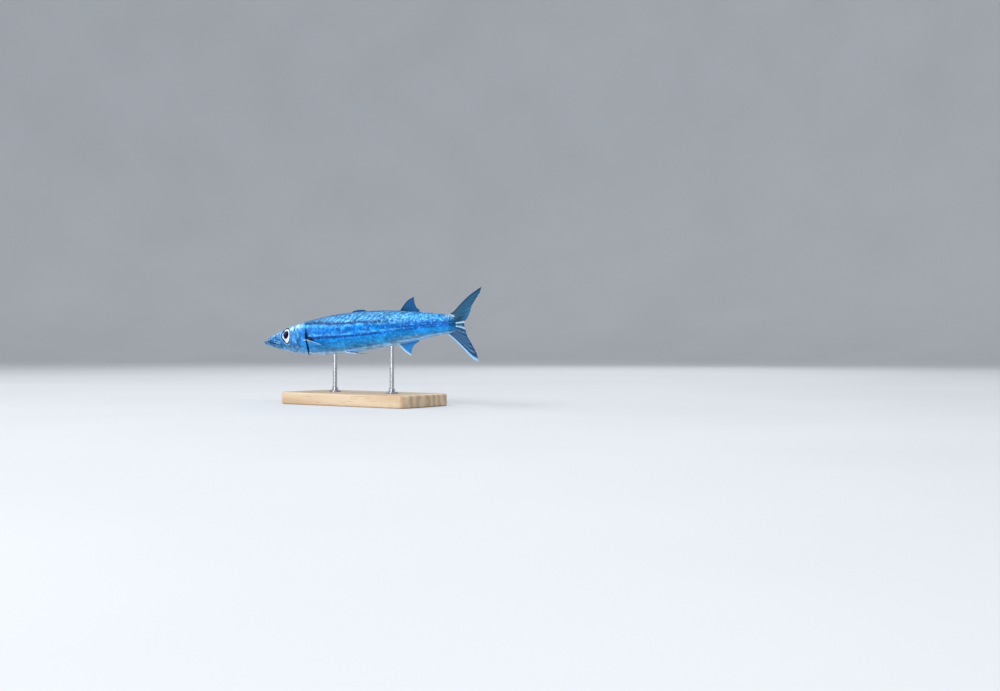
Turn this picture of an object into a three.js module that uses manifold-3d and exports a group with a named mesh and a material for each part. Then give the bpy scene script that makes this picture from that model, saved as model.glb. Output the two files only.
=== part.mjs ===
import * as THREE from 'three';
import { mergeVertices } from 'three/addons/utils/BufferGeometryUtils.js';
import Module from 'manifold-3d';

const wasm = await Module();
wasm.setup();

// A young yellowtail barracuda, held over a wooden plate by two steel rods.
// Millimetres, +Z up, snout toward -X, left side toward -Y, origin under the middle of the plate.
// The fish is shaped straight along X and bent afterwards. Places along it are shares of its length.

// Sizes of the whole fish
const LENGTH = 300;
const MIDDLE = 0.52;
const GAP = 0.3;
const SWING = 33.7;
const SWING_START = 0.5;
const SWING_SPAN = 0.67;
const NOSE_DOWN = THREE.MathUtils.degToRad(3);
const AXIS_HEIGHT = 83;

// Stand
const PLATE_LENGTH = 190;
const PLATE_WIDTH = 84;
const PLATE_HEIGHT = 14;
const PLATE_CORNER = 10;
const PLATE_BEVEL = 2.4;
const ROD_RADIUS = 2.5;
const ROD_FOOT_RADIUS = 7;
const ROD_FOOT_HEIGHT = 2.2;
const ROD_PLACES = { front: -44, rear: 44 };
const ROD_REACH = 12;

// Body: share of length, then top, bottom and half width as shares of length
const STATIONS = [
  [0.000, 0.0075, -0.0160, 0.0045],
  [0.008, 0.0106, -0.0200, 0.0078],
  [0.030, 0.0178, -0.0288, 0.0130],
  [0.070, 0.0285, -0.0412, 0.0205],
  [0.125, 0.0440, -0.0530, 0.0312],
  [0.180, 0.0530, -0.0628, 0.0412],
  [0.250, 0.0640, -0.0700, 0.0500],
  [0.350, 0.0755, -0.0750, 0.0560],
  [0.480, 0.0808, -0.0725, 0.0575],
  [0.600, 0.0790, -0.0640, 0.0535],
  [0.700, 0.0722, -0.0560, 0.0455],
  [0.800, 0.0610, -0.0450, 0.0335],
  [0.900, 0.0475, -0.0338, 0.0208],
  [0.955, 0.0407, -0.0303, 0.0148],
  [0.975, 0.0398, -0.0303, 0.0122],
  [0.990, 0.0382, -0.0290, 0.0085],
  [0.998, 0.0350, -0.0260, 0.0040],
];
const AROUND = 40;
const HEAD_TOP_POWER = 2.8;
const HEAD_UNDER_POWER = 1.85;
const TRUNK_POWER = 2.15;
const POWER_START = 0.16;
const POWER_SPAN = 0.14;
const HEAD_STEPS = 30;
const TRUNK_STEPS = 20;
const STALK_STEPS = 11;
const HEAD_END = 0.285;
const HEAD_EASE = 1.15;
const TRUNK_START = 0.20;
const STALK_START = 0.82;
const STALK_EVEN_END = 0.96;
const STALK_LAST = [0.975, 0.984, 0.990, 0.997];
const CUT_FRONT = -0.1;
const CUT_HEIGHT = 0.11;

// Head: the gill edge from the nape down, then the mouth and the jaw, as share and height
const GILL_EDGE = [
  [0.224, 0.110], [0.236, 0.060], [0.254, 0.042], [0.2625, 0.024], [0.264, 0.006], [0.2635, -0.010],
  [0.264, -0.024], [0.263, -0.036], [0.2595, -0.048], [0.2525, -0.059], [0.236, -0.0675], [0.215, -0.110],
];
const GILL_STEPS = 36;
const HEAD_FLARE = 0.8;
const FLARE_START = 0.17;
const FLARE_SPAN = 0.07;
const MOUTH_LINE = [
  [-0.040, -0.0060], [-0.012, -0.0048], [0.004, -0.0050], [0.030, -0.0118], [0.060, -0.0196],
  [0.095, -0.0258],
];
const MOUTH_STEPS = 15;
const JAW_REAR = [0.140, -0.110];
const JAW_REACH = 6;
const JAW_SHIFT_SPAN = 0.14;
const COVER_OUTLINE = [
  [0.190, 0.036], [0.230, 0.044], [0.300, 0.044], [0.300, -0.050],
  [0.230, -0.054], [0.180, -0.049], [0.170, -0.020], [0.177, 0.010],
];
const COVER_MIDDLE = -0.01;
const COVER_RISE = 0.5;
const COVER_DEPTH = 2.0;

// Nostrils: share, height and radius
const NOSTRILS = [[0.087, 5.4, 0.8], [0.078, 4.6, 0.6]];
const NOSTRIL_INSET = 0.1;
const LIP_RADIUS = 0.8;
const LIP_FRONT = 0.004;
const LIP_INSET = 0.25;
const LIP_CORNER_GAP = 0.003;
const LIP_STEPS = 10;

// Eyes, tilted forward and up with the cheek
const EYE_PLACE = 0.134;
const EYE_HEIGHT = 3.9;
const EYE_RADIUS = 7.4;
const EYE_SEAT = 7.6;
const EYE_DOME = 2.9;
const EYE_BACK = 2.6;
const EYE_STEP = 0.4;
const EYE_SIDES = 24;
const EYE_RINGS = 6;
const EYE_FORWARD = THREE.MathUtils.degToRad(9);
const EYE_UPWARD = THREE.MathUtils.degToRad(8);

// Rim of the orbit, drawn to a point in front and below: degrees turned up from the rear, then reach
const RIM_LINE = [
  [0, 7.95], [22, 7.95], [45, 7.95], [68, 7.95], [92, 7.95], [116, 7.95], [138, 7.95], [155, 8.4],
  [168, 9.5], [182, 10.2], [196, 9.4], [212, 8.5], [230, 8.1], [248, 8.4], [264, 9.2], [278, 10.8],
  [290, 10.5], [305, 10.2], [320, 9.7], [335, 8.9], [348, 8.2],
];
const RIM_RADIUS = 0.8;
const RIM_INSET = 0.15;
const RIM_OVER_SEAT = 0.1;
const RIM_STEPS = 32;
const TUBE_SIDES = 6;

// Fins: roots as shares, outlines as share and height, half thickness of a ray at its root and its tip
const ROOT_SINK = 2;
const WEB_HALF = 0.27;
const SWAY_FADE = 1.5;
const RAY_TIP = 0.42;
const SMALL_RAY_ROOT = 0.7;
const MIDDLE_RAY_ROOT = 0.72;
const TAIL_RAY_ROOT = 0.85;
const FIRST_DORSAL = { start: 0.452, end: 0.520, tip: [0.482, 26.2], rise: 0.8 };
const FIRST_DORSAL_EDGE = [FIRST_DORSAL.tip, [0.505, 27.0], [0.525, 26.7], [0.542, 25.6]];
const SECOND_DORSAL = { start: 0.710, end: 0.806 };
const SECOND_DORSAL_LEAD = [[0.732, 26.0], [0.757, 31.6], [0.790, 35.0]];
const SECOND_DORSAL_EDGE = [[0.790, 35.0], [0.791, 29.8], [0.798, 24.0], [0.816, 19.6]];
const ANAL = { start: 0.697, end: 0.800 };
const ANAL_LEAD = [[0.716, -20.6], [0.740, -25.8], [0.763, -29.6]];
const ANAL_EDGE = [[0.763, -29.6], [0.768, -23.4], [0.781, -18.6], [0.808, -14.6]];
const TAIL_ROOT = 0.982;
const FORK = [1.058, 0.003 * LENGTH];
const UPPER_LEAD = [
  [0.962, 10.2], [1.000, 13.8], [1.032, 19.2], [1.062, 24.0], [1.094, 28.1], [1.135, 32.1],
  [1.185, 35.6],
];
const UPPER_TRAIL = [[1.170, 30.4], [1.139, 23.7], [1.112, 17.4], [1.098, 11.0], [1.081, 5.6]];
const LOWER_LEAD = [
  [0.952, -7.6], [0.976, -11.6], [1.005, -17.2], [1.038, -24.1], [1.073, -31.5], [1.108, -38.0],
  [1.141, -41.4],
];
const LOWER_TRAIL = [[1.132, -33.6], [1.113, -26.3], [1.096, -20.4], [1.079, -15.0], [1.067, -7.6]];

// Paired fins: millimetres back from the root, out from the skin or the middle, and up or down
const PECTORAL_SHARE = 0.266;
const PECTORAL_SEAT = -5;
const PECTORAL_FACING = [-0.22, 1, 0.35];
const PECTORAL_CAMBER = 0.7;
const PECTORAL_ROOT = [[0, 1.9, -4.1], [0.8, 0.6, -7.8]];
const PECTORAL_LEAD = [[0, 1.9, -4.1], [6, 5, -4.4], [31, 7.7, -12.0]];
const PECTORAL_EDGE = [[31, 7.7, -12.0], [26, 6.8, -12.7], [19, 5.2, -12.4], [12, 3.8, -10.9]];
const PELVIC_SHARE = 0.440;
const PELVIC_FACING = [0.1, 0.3, -1];
const PELVIC_ROOT = [[0, 6.4, 0], [1.6, 2.4, 0]];
const PELVIC_LEAD = [[0, 6.4, 0], [12, 8.6, 3.8], [26, 8.2, 3.9]];
const PELVIC_EDGE = [[26, 8.2, 3.9], [24, 5.6, 4.3], [19, 3.6, 4.2], [13, 2.2, 3.9]];

const finish = {
  skin: { color: 0xa9bccb, roughness: 0.32, metalness: 0.35 },
  cover: { color: 0xc3d2dd, roughness: 0.3, metalness: 0.35 },
  eye: { color: 0x11161c, roughness: 0.08, metalness: 0.0 },
  fin: { color: 0x8b9390, roughness: 0.45, metalness: 0.0 },
  wood: { color: 0xc9ae8c, roughness: 0.5, metalness: 0.0 },
  steel: { color: 0xb9bcc0, roughness: 0.28, metalness: 1.0 },
};

// Solids from meshes, and meshes from solids

function solidOf(geometry) {
  const bare = geometry.clone();
  bare.deleteAttribute('normal');
  bare.deleteAttribute('uv');
  const merged = mergeVertices(bare, 1e-5);
  return new wasm.Manifold(new wasm.Mesh({
    numProp: 3,
    vertProperties: new Float32Array(merged.attributes.position.array),
    triVerts: new Uint32Array(merged.index.array),
  }));
}

function largest(solid) {
  const parts = solid.decompose();
  parts.sort((a, b) => b.volume() - a.volume());
  return parts[0];
}

function geometryOf(solid) {
  const mesh = largest(solid).getMesh();
  const geometry = new THREE.BufferGeometry();
  geometry.setAttribute('position', new THREE.BufferAttribute(new Float32Array(mesh.vertProperties), 3));
  geometry.setIndex(new THREE.BufferAttribute(new Uint32Array(mesh.triVerts), 1));
  return geometry;
}

function closedGeometry(points, faces) {
  let volume = 0;
  for (const [a, b, c] of faces) {
    volume += points[a].dot(new THREE.Vector3().crossVectors(points[b], points[c]));
  }
  const order = volume < 0 ? faces.map(([a, b, c]) => [a, c, b]) : faces;
  const geometry = new THREE.BufferGeometry().setFromPoints(points);
  geometry.setIndex(order.flat());
  return geometry;
}

// The body's surface

function stationValue(share, column) {
  const last = STATIONS.length - 1;
  let i = 0;
  while (i < last - 1 && STATIONS[i + 1][0] < share) {
    i += 1;
  }
  const slope = (k) => {
    const before = STATIONS[Math.max(k - 1, 0)];
    const after = STATIONS[Math.min(k + 1, last)];
    return (after[column] - before[column]) / (after[0] - before[0]);
  };
  const step = STATIONS[i + 1][0] - STATIONS[i][0];
  const t = THREE.MathUtils.clamp((share - STATIONS[i][0]) / step, 0, 1);
  const t2 = t * t;
  const t3 = t2 * t;
  return (2 * t3 - 3 * t2 + 1) * STATIONS[i][column]
    + (t3 - 2 * t2 + t) * step * slope(i)
    + (3 * t2 - 2 * t3) * STATIONS[i + 1][column]
    + (t3 - t2) * step * slope(i + 1);
}

function section(share) {
  const top = LENGTH * stationValue(share, 1);
  const bottom = LENGTH * stationValue(share, 2);
  const blend = THREE.MathUtils.smoothstep(share, POWER_START, POWER_START + POWER_SPAN);
  return {
    middle: (top + bottom) / 2,
    tall: (top - bottom) / 2,
    wide: LENGTH * stationValue(share, 3),
    upper: THREE.MathUtils.lerp(HEAD_TOP_POWER, TRUNK_POWER, blend),
    under: THREE.MathUtils.lerp(HEAD_UNDER_POWER, TRUNK_POWER, blend),
  };
}

function surfaceWidth(x, z) {
  const { middle, tall, wide, upper, under } = section(x / LENGTH);
  const power = z > middle ? upper : under;
  const rise = Math.min(Math.abs(z - middle) / tall, 1);
  return wide * (1 - rise ** power) ** (1 / power);
}

function bodyRing(share, grow, flare, shift) {
  const { middle, tall, wide, upper, under } = section(share);
  const points = [];
  for (let k = 0; k < AROUND; k += 1) {
    const angle = (2 * Math.PI * (k + 0.5)) / AROUND;
    const power = 2 / (Math.sin(angle) > 0 ? upper : under);
    const across = Math.sign(Math.cos(angle)) * Math.abs(Math.cos(angle)) ** power;
    const along = Math.sign(Math.sin(angle)) * Math.abs(Math.sin(angle)) ** power;
    points.push(new THREE.Vector3(
      share * LENGTH + shift,
      (wide + grow + flare) * across,
      middle + (tall + grow) * along,
    ));
  }
  return points;
}

function loft(rings, startCap, endCap) {
  const points = rings.flat();
  const faces = [];
  const around = rings[0].length;
  for (let i = 0; i < rings.length - 1; i += 1) {
    for (let k = 0; k < around; k += 1) {
      const a = i * around + k;
      const b = i * around + ((k + 1) % around);
      faces.push([a, b, b + around], [a, b + around, a + around]);
    }
  }
  const middleOf = (ring) => ring.reduce((sum, p) => sum.add(p), new THREE.Vector3()).divideScalar(around);
  const first = points.length;
  points.push(middleOf(rings[0]).add(new THREE.Vector3(-startCap, 0, 0)));
  points.push(middleOf(rings[rings.length - 1]).add(new THREE.Vector3(endCap, 0, 0)));
  const base = (rings.length - 1) * around;
  for (let k = 0; k < around; k += 1) {
    const next = (k + 1) % around;
    faces.push([first, next, k], [first + 1, base + k, base + next]);
  }
  return closedGeometry(points, faces);
}

function spread(from, to, steps, ease = 1) {
  return Array.from({ length: steps + 1 }, (_, i) => from + (to - from) * (i / steps) ** ease);
}

const headShares = spread(0, HEAD_END, HEAD_STEPS, HEAD_EASE);
const trunkShares = spread(TRUNK_START, STALK_START, TRUNK_STEPS);
const stalkShares = [...spread(STALK_START, STALK_EVEN_END, STALK_STEPS - STALK_LAST.length), ...STALK_LAST];

const gapShare = GAP / LENGTH;

function headLoft(grow) {
  const flare = (s) => HEAD_FLARE * THREE.MathUtils.smoothstep(s, FLARE_START, FLARE_START + FLARE_SPAN);
  return solidOf(loft(headShares.map((s) => bodyRing(s, grow, flare(s), 0)), GAP + grow, 0));
}

function jawLoft() {
  return solidOf(loft(headShares.map((s) => bodyRing(s, 0, 0, jawShift(s))), GAP, 0));
}

function trunkLoft(grow) {
  return solidOf(loft(trunkShares.map((s) => bodyRing(s - gapShare / 2, grow, 0, 0)), 0, 0));
}

function stalkLoft(grow) {
  return solidOf(loft(stalkShares.map((s) => bodyRing(s + gapShare / 2, grow, 0, 0)), 0, grow));
}

// A plate cut square through the fish from side to side, from an outline of shares
function sidePrism(outline, shift = 0) {
  const shape = new THREE.Shape(outline.map(([s, h]) => new THREE.Vector2(s * LENGTH + shift, h * LENGTH)));
  const depth = LENGTH / 3;
  const geometry = new THREE.ExtrudeGeometry(shape, { depth, bevelEnabled: false });
  return solidOf(geometry.rotateX(Math.PI / 2).translate(0, depth / 2, 0));
}

function smoothLine(points, steps) {
  const curve = new THREE.SplineCurve(points.map(([s, h]) => new THREE.Vector2(s, h)));
  return curve.getPoints(steps).map((p) => [p.x, p.y]);
}

// Keeps one side of the fish: -1 is its left, 1 its right
function sideHalf(side) {
  const half = new THREE.BoxGeometry(2 * LENGTH, LENGTH / 2, LENGTH);
  return solidOf(half.translate(0, side * (LENGTH / 4 + GAP / 2), 0));
}

const gillLine = smoothLine(GILL_EDGE, GILL_STEPS);
const aheadOfGills = [...gillLine, [CUT_FRONT, -CUT_HEIGHT], [CUT_FRONT, CUT_HEIGHT]];
const frontOfGills = sidePrism(aheadOfGills);
const clearOfGills = sidePrism(aheadOfGills, GAP);
const mouthLine = smoothLine(MOUTH_LINE, MOUTH_STEPS);
const belowMouth = [...mouthLine, JAW_REAR, [MOUTH_LINE[0][0], JAW_REAR[1]]];
const jawRoom = sidePrism(belowMouth.map(([s, h]) => [s + gapShare, h + gapShare]));
const jawShape = sidePrism(belowMouth);

// Head with its sockets, lips, nostrils and the beds of the gill covers

function eyeFrame(side) {
  const outward = new THREE.Vector3(
    -Math.sin(EYE_FORWARD) * Math.cos(EYE_UPWARD),
    side * Math.cos(EYE_FORWARD) * Math.cos(EYE_UPWARD),
    Math.sin(EYE_UPWARD),
  );
  const turn = new THREE.Quaternion().setFromUnitVectors(new THREE.Vector3(0, 1, 0), outward);
  const seat = new THREE.Vector3(EYE_PLACE * LENGTH, side * EYE_SEAT, EYE_HEIGHT);
  return { outward, place: new THREE.Matrix4().compose(seat, turn, new THREE.Vector3(1, 1, 1)), seat };
}

function eyeRim(side) {
  const { outward, seat } = eyeFrame(side);
  const points = [];
  for (const [degrees, reach] of RIM_LINE) {
    const angle = THREE.MathUtils.degToRad(degrees);
    const x = seat.x + reach * Math.cos(angle);
    const z = seat.z + reach * Math.sin(angle);
    const climb = Math.abs(outward.x) * (x - seat.x) - outward.z * (z - seat.z);
    const plane = EYE_SEAT + climb / Math.abs(outward.y) + RIM_OVER_SEAT;
    points.push(new THREE.Vector3(x, side * Math.max(surfaceWidth(x, z) - RIM_INSET, plane), z));
  }
  const path = new THREE.CatmullRomCurve3(points, true);
  return solidOf(new THREE.TubeGeometry(path, RIM_STEPS, RIM_RADIUS, TUBE_SIDES, true));
}

function eyeParts(side) {
  const profile = [
    new THREE.Vector2(0, -EYE_BACK),
    new THREE.Vector2(EYE_RADIUS - EYE_STEP, -EYE_BACK),
    new THREE.Vector2(EYE_RADIUS, 0),
  ];
  const ball = (EYE_RADIUS ** 2 + EYE_DOME ** 2) / (2 * EYE_DOME);
  const reach = Math.asin(EYE_RADIUS / ball);
  for (let i = 1; i <= EYE_RINGS; i += 1) {
    const turn = reach * (1 - i / EYE_RINGS);
    profile.push(new THREE.Vector2(ball * Math.sin(turn), ball * Math.cos(turn) - ball + EYE_DOME));
  }
  const socket = [
    new THREE.Vector2(0, -EYE_BACK - GAP),
    new THREE.Vector2(EYE_RADIUS + GAP, -EYE_BACK - GAP),
    new THREE.Vector2(EYE_RADIUS + GAP, EYE_RADIUS),
    new THREE.Vector2(0, EYE_RADIUS),
  ];
  const { place } = eyeFrame(side);
  const turned = (points) => solidOf(new THREE.LatheGeometry(points, EYE_SIDES).applyMatrix4(place));
  return { eye: turned(profile), socket: turned(socket) };
}

function sweep(points, radius, steps) {
  const section = Array.from({ length: TUBE_SIDES }, (_, i) => {
    const angle = (2 * Math.PI * i) / TUBE_SIDES;
    return new THREE.Vector2(radius * Math.cos(angle), radius * Math.sin(angle));
  });
  const extrudePath = new THREE.CatmullRomCurve3(points);
  const settings = { steps, extrudePath, bevelEnabled: false };
  return solidOf(new THREE.ExtrudeGeometry(new THREE.Shape(section), settings));
}

function mouthHeight(share) {
  let i = 1;
  while (i < mouthLine.length - 1 && mouthLine[i][0] < share) {
    i += 1;
  }
  const [a, b] = [mouthLine[i - 1], mouthLine[i]];
  return LENGTH * (a[1] + ((b[1] - a[1]) * (share - a[0])) / (b[0] - a[0]));
}

// A lip from one corner of the mouth round the tip to the other, above or below the line of the mouth
function lip(level, shift) {
  const corner = MOUTH_LINE[MOUTH_LINE.length - 1][0] - LIP_CORNER_GAP;
  const half = [];
  for (let i = 0; i <= LIP_STEPS; i += 1) {
    const share = corner + (LIP_FRONT - corner) * (i / LIP_STEPS);
    const x = share * LENGTH + shift(share);
    const z = mouthHeight(x / LENGTH) + level;
    half.push(new THREE.Vector3(x, surfaceWidth(share * LENGTH, z) - LIP_INSET, z));
  }
  const tip = -0.1 + shift(0);
  const middle = new THREE.Vector3(tip, 0, mouthHeight(tip / LENGTH) + level);
  const other = half.map((p) => new THREE.Vector3(p.x, -p.y, p.z)).reverse();
  return sweep([...half, middle, ...other], LIP_RADIUS, 3 * LIP_STEPS);
}

function nostril([share, height, radius], side) {
  const ball = new THREE.SphereGeometry(radius, 8, 6);
  const x = share * LENGTH;
  return solidOf(ball.translate(x, side * (surfaceWidth(x, height) - NOSTRIL_INSET), height));
}

const jawShift = (share) => -JAW_REACH * Math.max(1 - share / JAW_SHIFT_SPAN, 0) ** 2;

const eyes = { left: eyeParts(-1), right: eyeParts(1) };
const coverShape = sidePrism(COVER_OUTLINE);
const coverEdge = COVER_OUTLINE.map(([s, h]) => [s - gapShare, h + Math.sign(h - COVER_MIDDLE) * gapShare]);
const coverRoom = sidePrism(coverEdge);
const coverShell = headLoft(COVER_RISE).subtract(headLoft(-COVER_DEPTH)).intersect(frontOfGills);
const coverBed = headLoft(2 * COVER_DEPTH).subtract(headLoft(-COVER_DEPTH - GAP)).intersect(coverRoom);

function gillCover(side) {
  return coverShell.intersect(coverShape).intersect(sideHalf(side));
}

let head = headLoft(0)
  .add(lip(LIP_RADIUS, () => 0))
  .add(eyeRim(-1))
  .add(eyeRim(1))
  .intersect(frontOfGills)
  .subtract(jawRoom)
  .subtract(coverBed)
  .subtract(eyes.left.socket)
  .subtract(eyes.right.socket);
for (const pit of NOSTRILS) {
  head = head.subtract(nostril(pit, -1)).subtract(nostril(pit, 1));
}
const lowerJaw = jawLoft().add(lip(-LIP_RADIUS, jawShift)).intersect(jawShape);
const trunk = trunkLoft(0).subtract(clearOfGills);
const tailStalk = stalkLoft(0);

// Fins: rays side by side from a root line to an edge line, raised on both faces of a thin web.
// Root and edge give points for u from 0 at the leading ray to 1 at the last.
// Lead is the leading ray's own line.

function fin({ rays, rows, root, edge, lead, normal, camber, rayRoot, notch }) {
  const columns = 2 * (rays - 1);
  const points = [];
  const faces = [];
  const first = root(0);
  const tip = edge(0);
  for (const face of [1, -1]) {
    for (let c = 0; c <= columns; c += 1) {
      const u = c / columns;
      const ray = c % 2 === 0;
      const reach = ray ? 1 : 1 - notch;
      for (let r = 0; r <= rows; r += 1) {
        const v = (reach * r) / rows;
        const point = root(u).lerp(edge(u), v);
        const sway = lead(v).sub(first.clone().lerp(tip, v)).multiplyScalar((1 - u) ** SWAY_FADE);
        const half = ray ? THREE.MathUtils.lerp(rayRoot, RAY_TIP, v) : WEB_HALF;
        points.push(point.add(sway).addScaledVector(normal, camber(u, v) + face * half));
      }
    }
  }
  const line = rows + 1;
  const other = (columns + 1) * line;
  for (let c = 0; c < columns; c += 1) {
    for (let r = 0; r < rows; r += 1) {
      const a = c * line + r;
      const b = a + line;
      faces.push([a, b, b + 1], [a, b + 1, a + 1]);
      faces.push([a + other, b + 1 + other, b + other], [a + other, a + 1 + other, b + 1 + other]);
    }
  }
  const rim = [];
  for (let r = 0; r < rows; r += 1) {
    rim.push([r, r + 1]);
  }
  for (let c = 0; c < columns; c += 1) {
    rim.push([c * line + rows, (c + 1) * line + rows]);
  }
  for (let r = rows; r > 0; r -= 1) {
    rim.push([columns * line + r, columns * line + r - 1]);
  }
  for (let c = columns; c > 0; c -= 1) {
    rim.push([c * line, (c - 1) * line]);
  }
  for (const [a, b] of rim) {
    faces.push([a, b, b + other], [a, b + other, a + other]);
  }
  return solidOf(closedGeometry(points, faces));
}

const lerp = THREE.MathUtils.lerp;
const alongFish = (share, height, across = 0) => new THREE.Vector3(share * LENGTH, across, height);
const sideways = new THREE.Vector3(0, 1, 0);
const flat = () => 0;
const backHeight = (share) => LENGTH * stationValue(share, 1);
const bellyHeight = (share) => LENGTH * stationValue(share, 2);

function lineThrough(points) {
  const curve = new THREE.CatmullRomCurve3(points.map(([share, height]) => alongFish(share, height)));
  return (u) => curve.getPoint(u);
}

const trunkClear = trunkLoft(GAP);
const stalkClear = stalkLoft(GAP);

// Folded first dorsal fin: five spines laid back along the ridge of the back
const firstDorsalRoot = (u) => lerp(FIRST_DORSAL.start, FIRST_DORSAL.end, u);
const firstDorsalBase = backHeight(FIRST_DORSAL.start) - ROOT_SINK;
const firstDorsal = fin({
  rays: 5,
  rows: 4,
  root: (u) => alongFish(firstDorsalRoot(u), backHeight(firstDorsalRoot(u)) - ROOT_SINK),
  edge: lineThrough(FIRST_DORSAL_EDGE),
  lead: (v) => alongFish(
    lerp(FIRST_DORSAL.start, FIRST_DORSAL.tip[0], v),
    lerp(firstDorsalBase, FIRST_DORSAL.tip[1], v ** FIRST_DORSAL.rise),
  ),
  normal: sideways,
  camber: flat,
  rayRoot: SMALL_RAY_ROOT,
  notch: 0.08,
}).subtract(trunkClear);

const secondDorsalRoot = (u) => lerp(SECOND_DORSAL.start, SECOND_DORSAL.end, u);
const secondDorsalStart = [SECOND_DORSAL.start, backHeight(SECOND_DORSAL.start) - ROOT_SINK];
const secondDorsal = fin({
  rays: 10,
  rows: 6,
  root: (u) => alongFish(secondDorsalRoot(u), backHeight(secondDorsalRoot(u)) - ROOT_SINK),
  edge: lineThrough(SECOND_DORSAL_EDGE),
  lead: lineThrough([secondDorsalStart, ...SECOND_DORSAL_LEAD]),
  normal: sideways,
  camber: flat,
  rayRoot: MIDDLE_RAY_ROOT,
  notch: 0.06,
}).subtract(trunkClear).subtract(stalkClear);

const analRoot = (u) => lerp(ANAL.start, ANAL.end, u);
const analStart = [ANAL.start, bellyHeight(ANAL.start) + ROOT_SINK];
const analFin = fin({
  rays: 10,
  rows: 6,
  root: (u) => alongFish(analRoot(u), bellyHeight(analRoot(u)) + ROOT_SINK),
  edge: lineThrough(ANAL_EDGE),
  lead: lineThrough([analStart, ...ANAL_LEAD]),
  normal: sideways,
  camber: flat,
  rayRoot: MIDDLE_RAY_ROOT,
  notch: 0.06,
}).subtract(trunkClear).subtract(stalkClear);

function tailLobe(side, lead, trail) {
  const [start] = lead;
  const last = FORK[1] + (side * GAP) / 2;
  return fin({
    rays: 9,
    rows: 9,
    root: (u) => alongFish(lerp(start[0], TAIL_ROOT, u), lerp(start[1], last, u)),
    edge: lineThrough([lead[lead.length - 1], ...trail, [FORK[0], last]]),
    lead: lineThrough(lead),
    normal: sideways,
    camber: flat,
    rayRoot: TAIL_RAY_ROOT,
    notch: 0.03,
  }).subtract(stalkClear);
}

const upperTail = tailLobe(1, UPPER_LEAD, UPPER_TRAIL);
const lowerTail = tailLobe(-1, LOWER_LEAD, LOWER_TRAIL);

function pairedFin(details, side, place, [rootFront, rootRear], leadPoints, edgePoints, facing) {
  const edge = new THREE.CatmullRomCurve3(edgePoints.map((p) => place(...p)));
  const lead = new THREE.QuadraticBezierCurve3(...leadPoints.map((p) => place(...p)));
  const [back, out, up] = facing;
  return fin({
    ...details,
    root: (u) => place(...rootFront.map((from, i) => lerp(from, rootRear[i], u))),
    edge: (u) => edge.getPoint(u),
    lead: (v) => lead.getPoint(v),
    normal: new THREE.Vector3(back, side * out, up).normalize(),
    rayRoot: SMALL_RAY_ROOT,
    notch: 0.05,
  }).subtract(trunkClear);
}

function pectoralFin(side) {
  const front = PECTORAL_SHARE * LENGTH;
  const seat = surfaceWidth(front, PECTORAL_SEAT) - ROOT_SINK;
  const place = (back, out, height) => new THREE.Vector3(front + back, side * (seat + out), height);
  const camber = (u, v) => PECTORAL_CAMBER * Math.sin(Math.PI * u) * v;
  const details = { rays: 9, rows: 6, camber };
  return pairedFin(details, side, place, PECTORAL_ROOT, PECTORAL_LEAD, PECTORAL_EDGE, PECTORAL_FACING);
}

function pelvicFin(side) {
  const front = PELVIC_SHARE * LENGTH;
  const level = bellyHeight(PELVIC_SHARE) + ROOT_SINK;
  const place = (back, out, drop) => new THREE.Vector3(front + back, side * out, level - drop);
  const details = { rays: 6, rows: 5, camber: flat };
  return pairedFin(details, side, place, PELVIC_ROOT, PELVIC_LEAD, PELVIC_EDGE, PELVIC_FACING);
}

// The bend of the hind body toward the left, and the fish's place over the plate

function bend(geometry) {
  const position = geometry.attributes.position;
  for (let i = 0; i < position.count; i += 1) {
    const x = position.getX(i);
    const y = position.getY(i);
    const t = Math.max((x / LENGTH - SWING_START) / SWING_SPAN, 0);
    const slope = (-3 * SWING * t * t) / (SWING_SPAN * LENGTH);
    const size = Math.hypot(1, slope);
    position.setX(i, x - MIDDLE * LENGTH - (slope / size) * y);
    position.setY(i, -SWING * t ** 3 + y / size);
  }
  return geometry;
}

const fish = new THREE.Group();
fish.rotation.y = -NOSE_DOWN;
fish.position.z = AXIS_HEIGHT;

function fishPart(name, solid, look) {
  const mesh = new THREE.Mesh(bend(geometryOf(solid)), new THREE.MeshStandardMaterial(look));
  mesh.name = name;
  fish.add(mesh);
  return mesh;
}

fishPart('head', head, finish.skin);
fishPart('lower_jaw', lowerJaw, finish.skin);
fishPart('gill_cover_left', gillCover(-1), finish.cover);
fishPart('gill_cover_right', gillCover(1), finish.cover);
fishPart('eye_left', eyes.left.eye, finish.eye);
fishPart('eye_right', eyes.right.eye, finish.eye);
const trunkMesh = fishPart('trunk', trunk, finish.skin);
fishPart('tail_stalk', tailStalk, finish.skin);
fishPart('first_dorsal_fin', firstDorsal, finish.fin);
fishPart('second_dorsal_fin', secondDorsal, finish.fin);
fishPart('anal_fin', analFin, finish.fin);
fishPart('tail_fin_upper', upperTail, finish.fin);
fishPart('tail_fin_lower', lowerTail, finish.fin);
fishPart('pectoral_fin_left', pectoralFin(-1), finish.fin);
fishPart('pectoral_fin_right', pectoralFin(1), finish.fin);
fishPart('pelvic_fin_left', pelvicFin(-1), finish.fin);
fishPart('pelvic_fin_right', pelvicFin(1), finish.fin);
fish.updateMatrixWorld(true);

// Stand

const stand = new THREE.Group();

function standPart(name, geometry, look) {
  const mesh = new THREE.Mesh(geometry, new THREE.MeshStandardMaterial(look));
  mesh.name = name;
  stand.add(mesh);
  return mesh;
}

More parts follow.
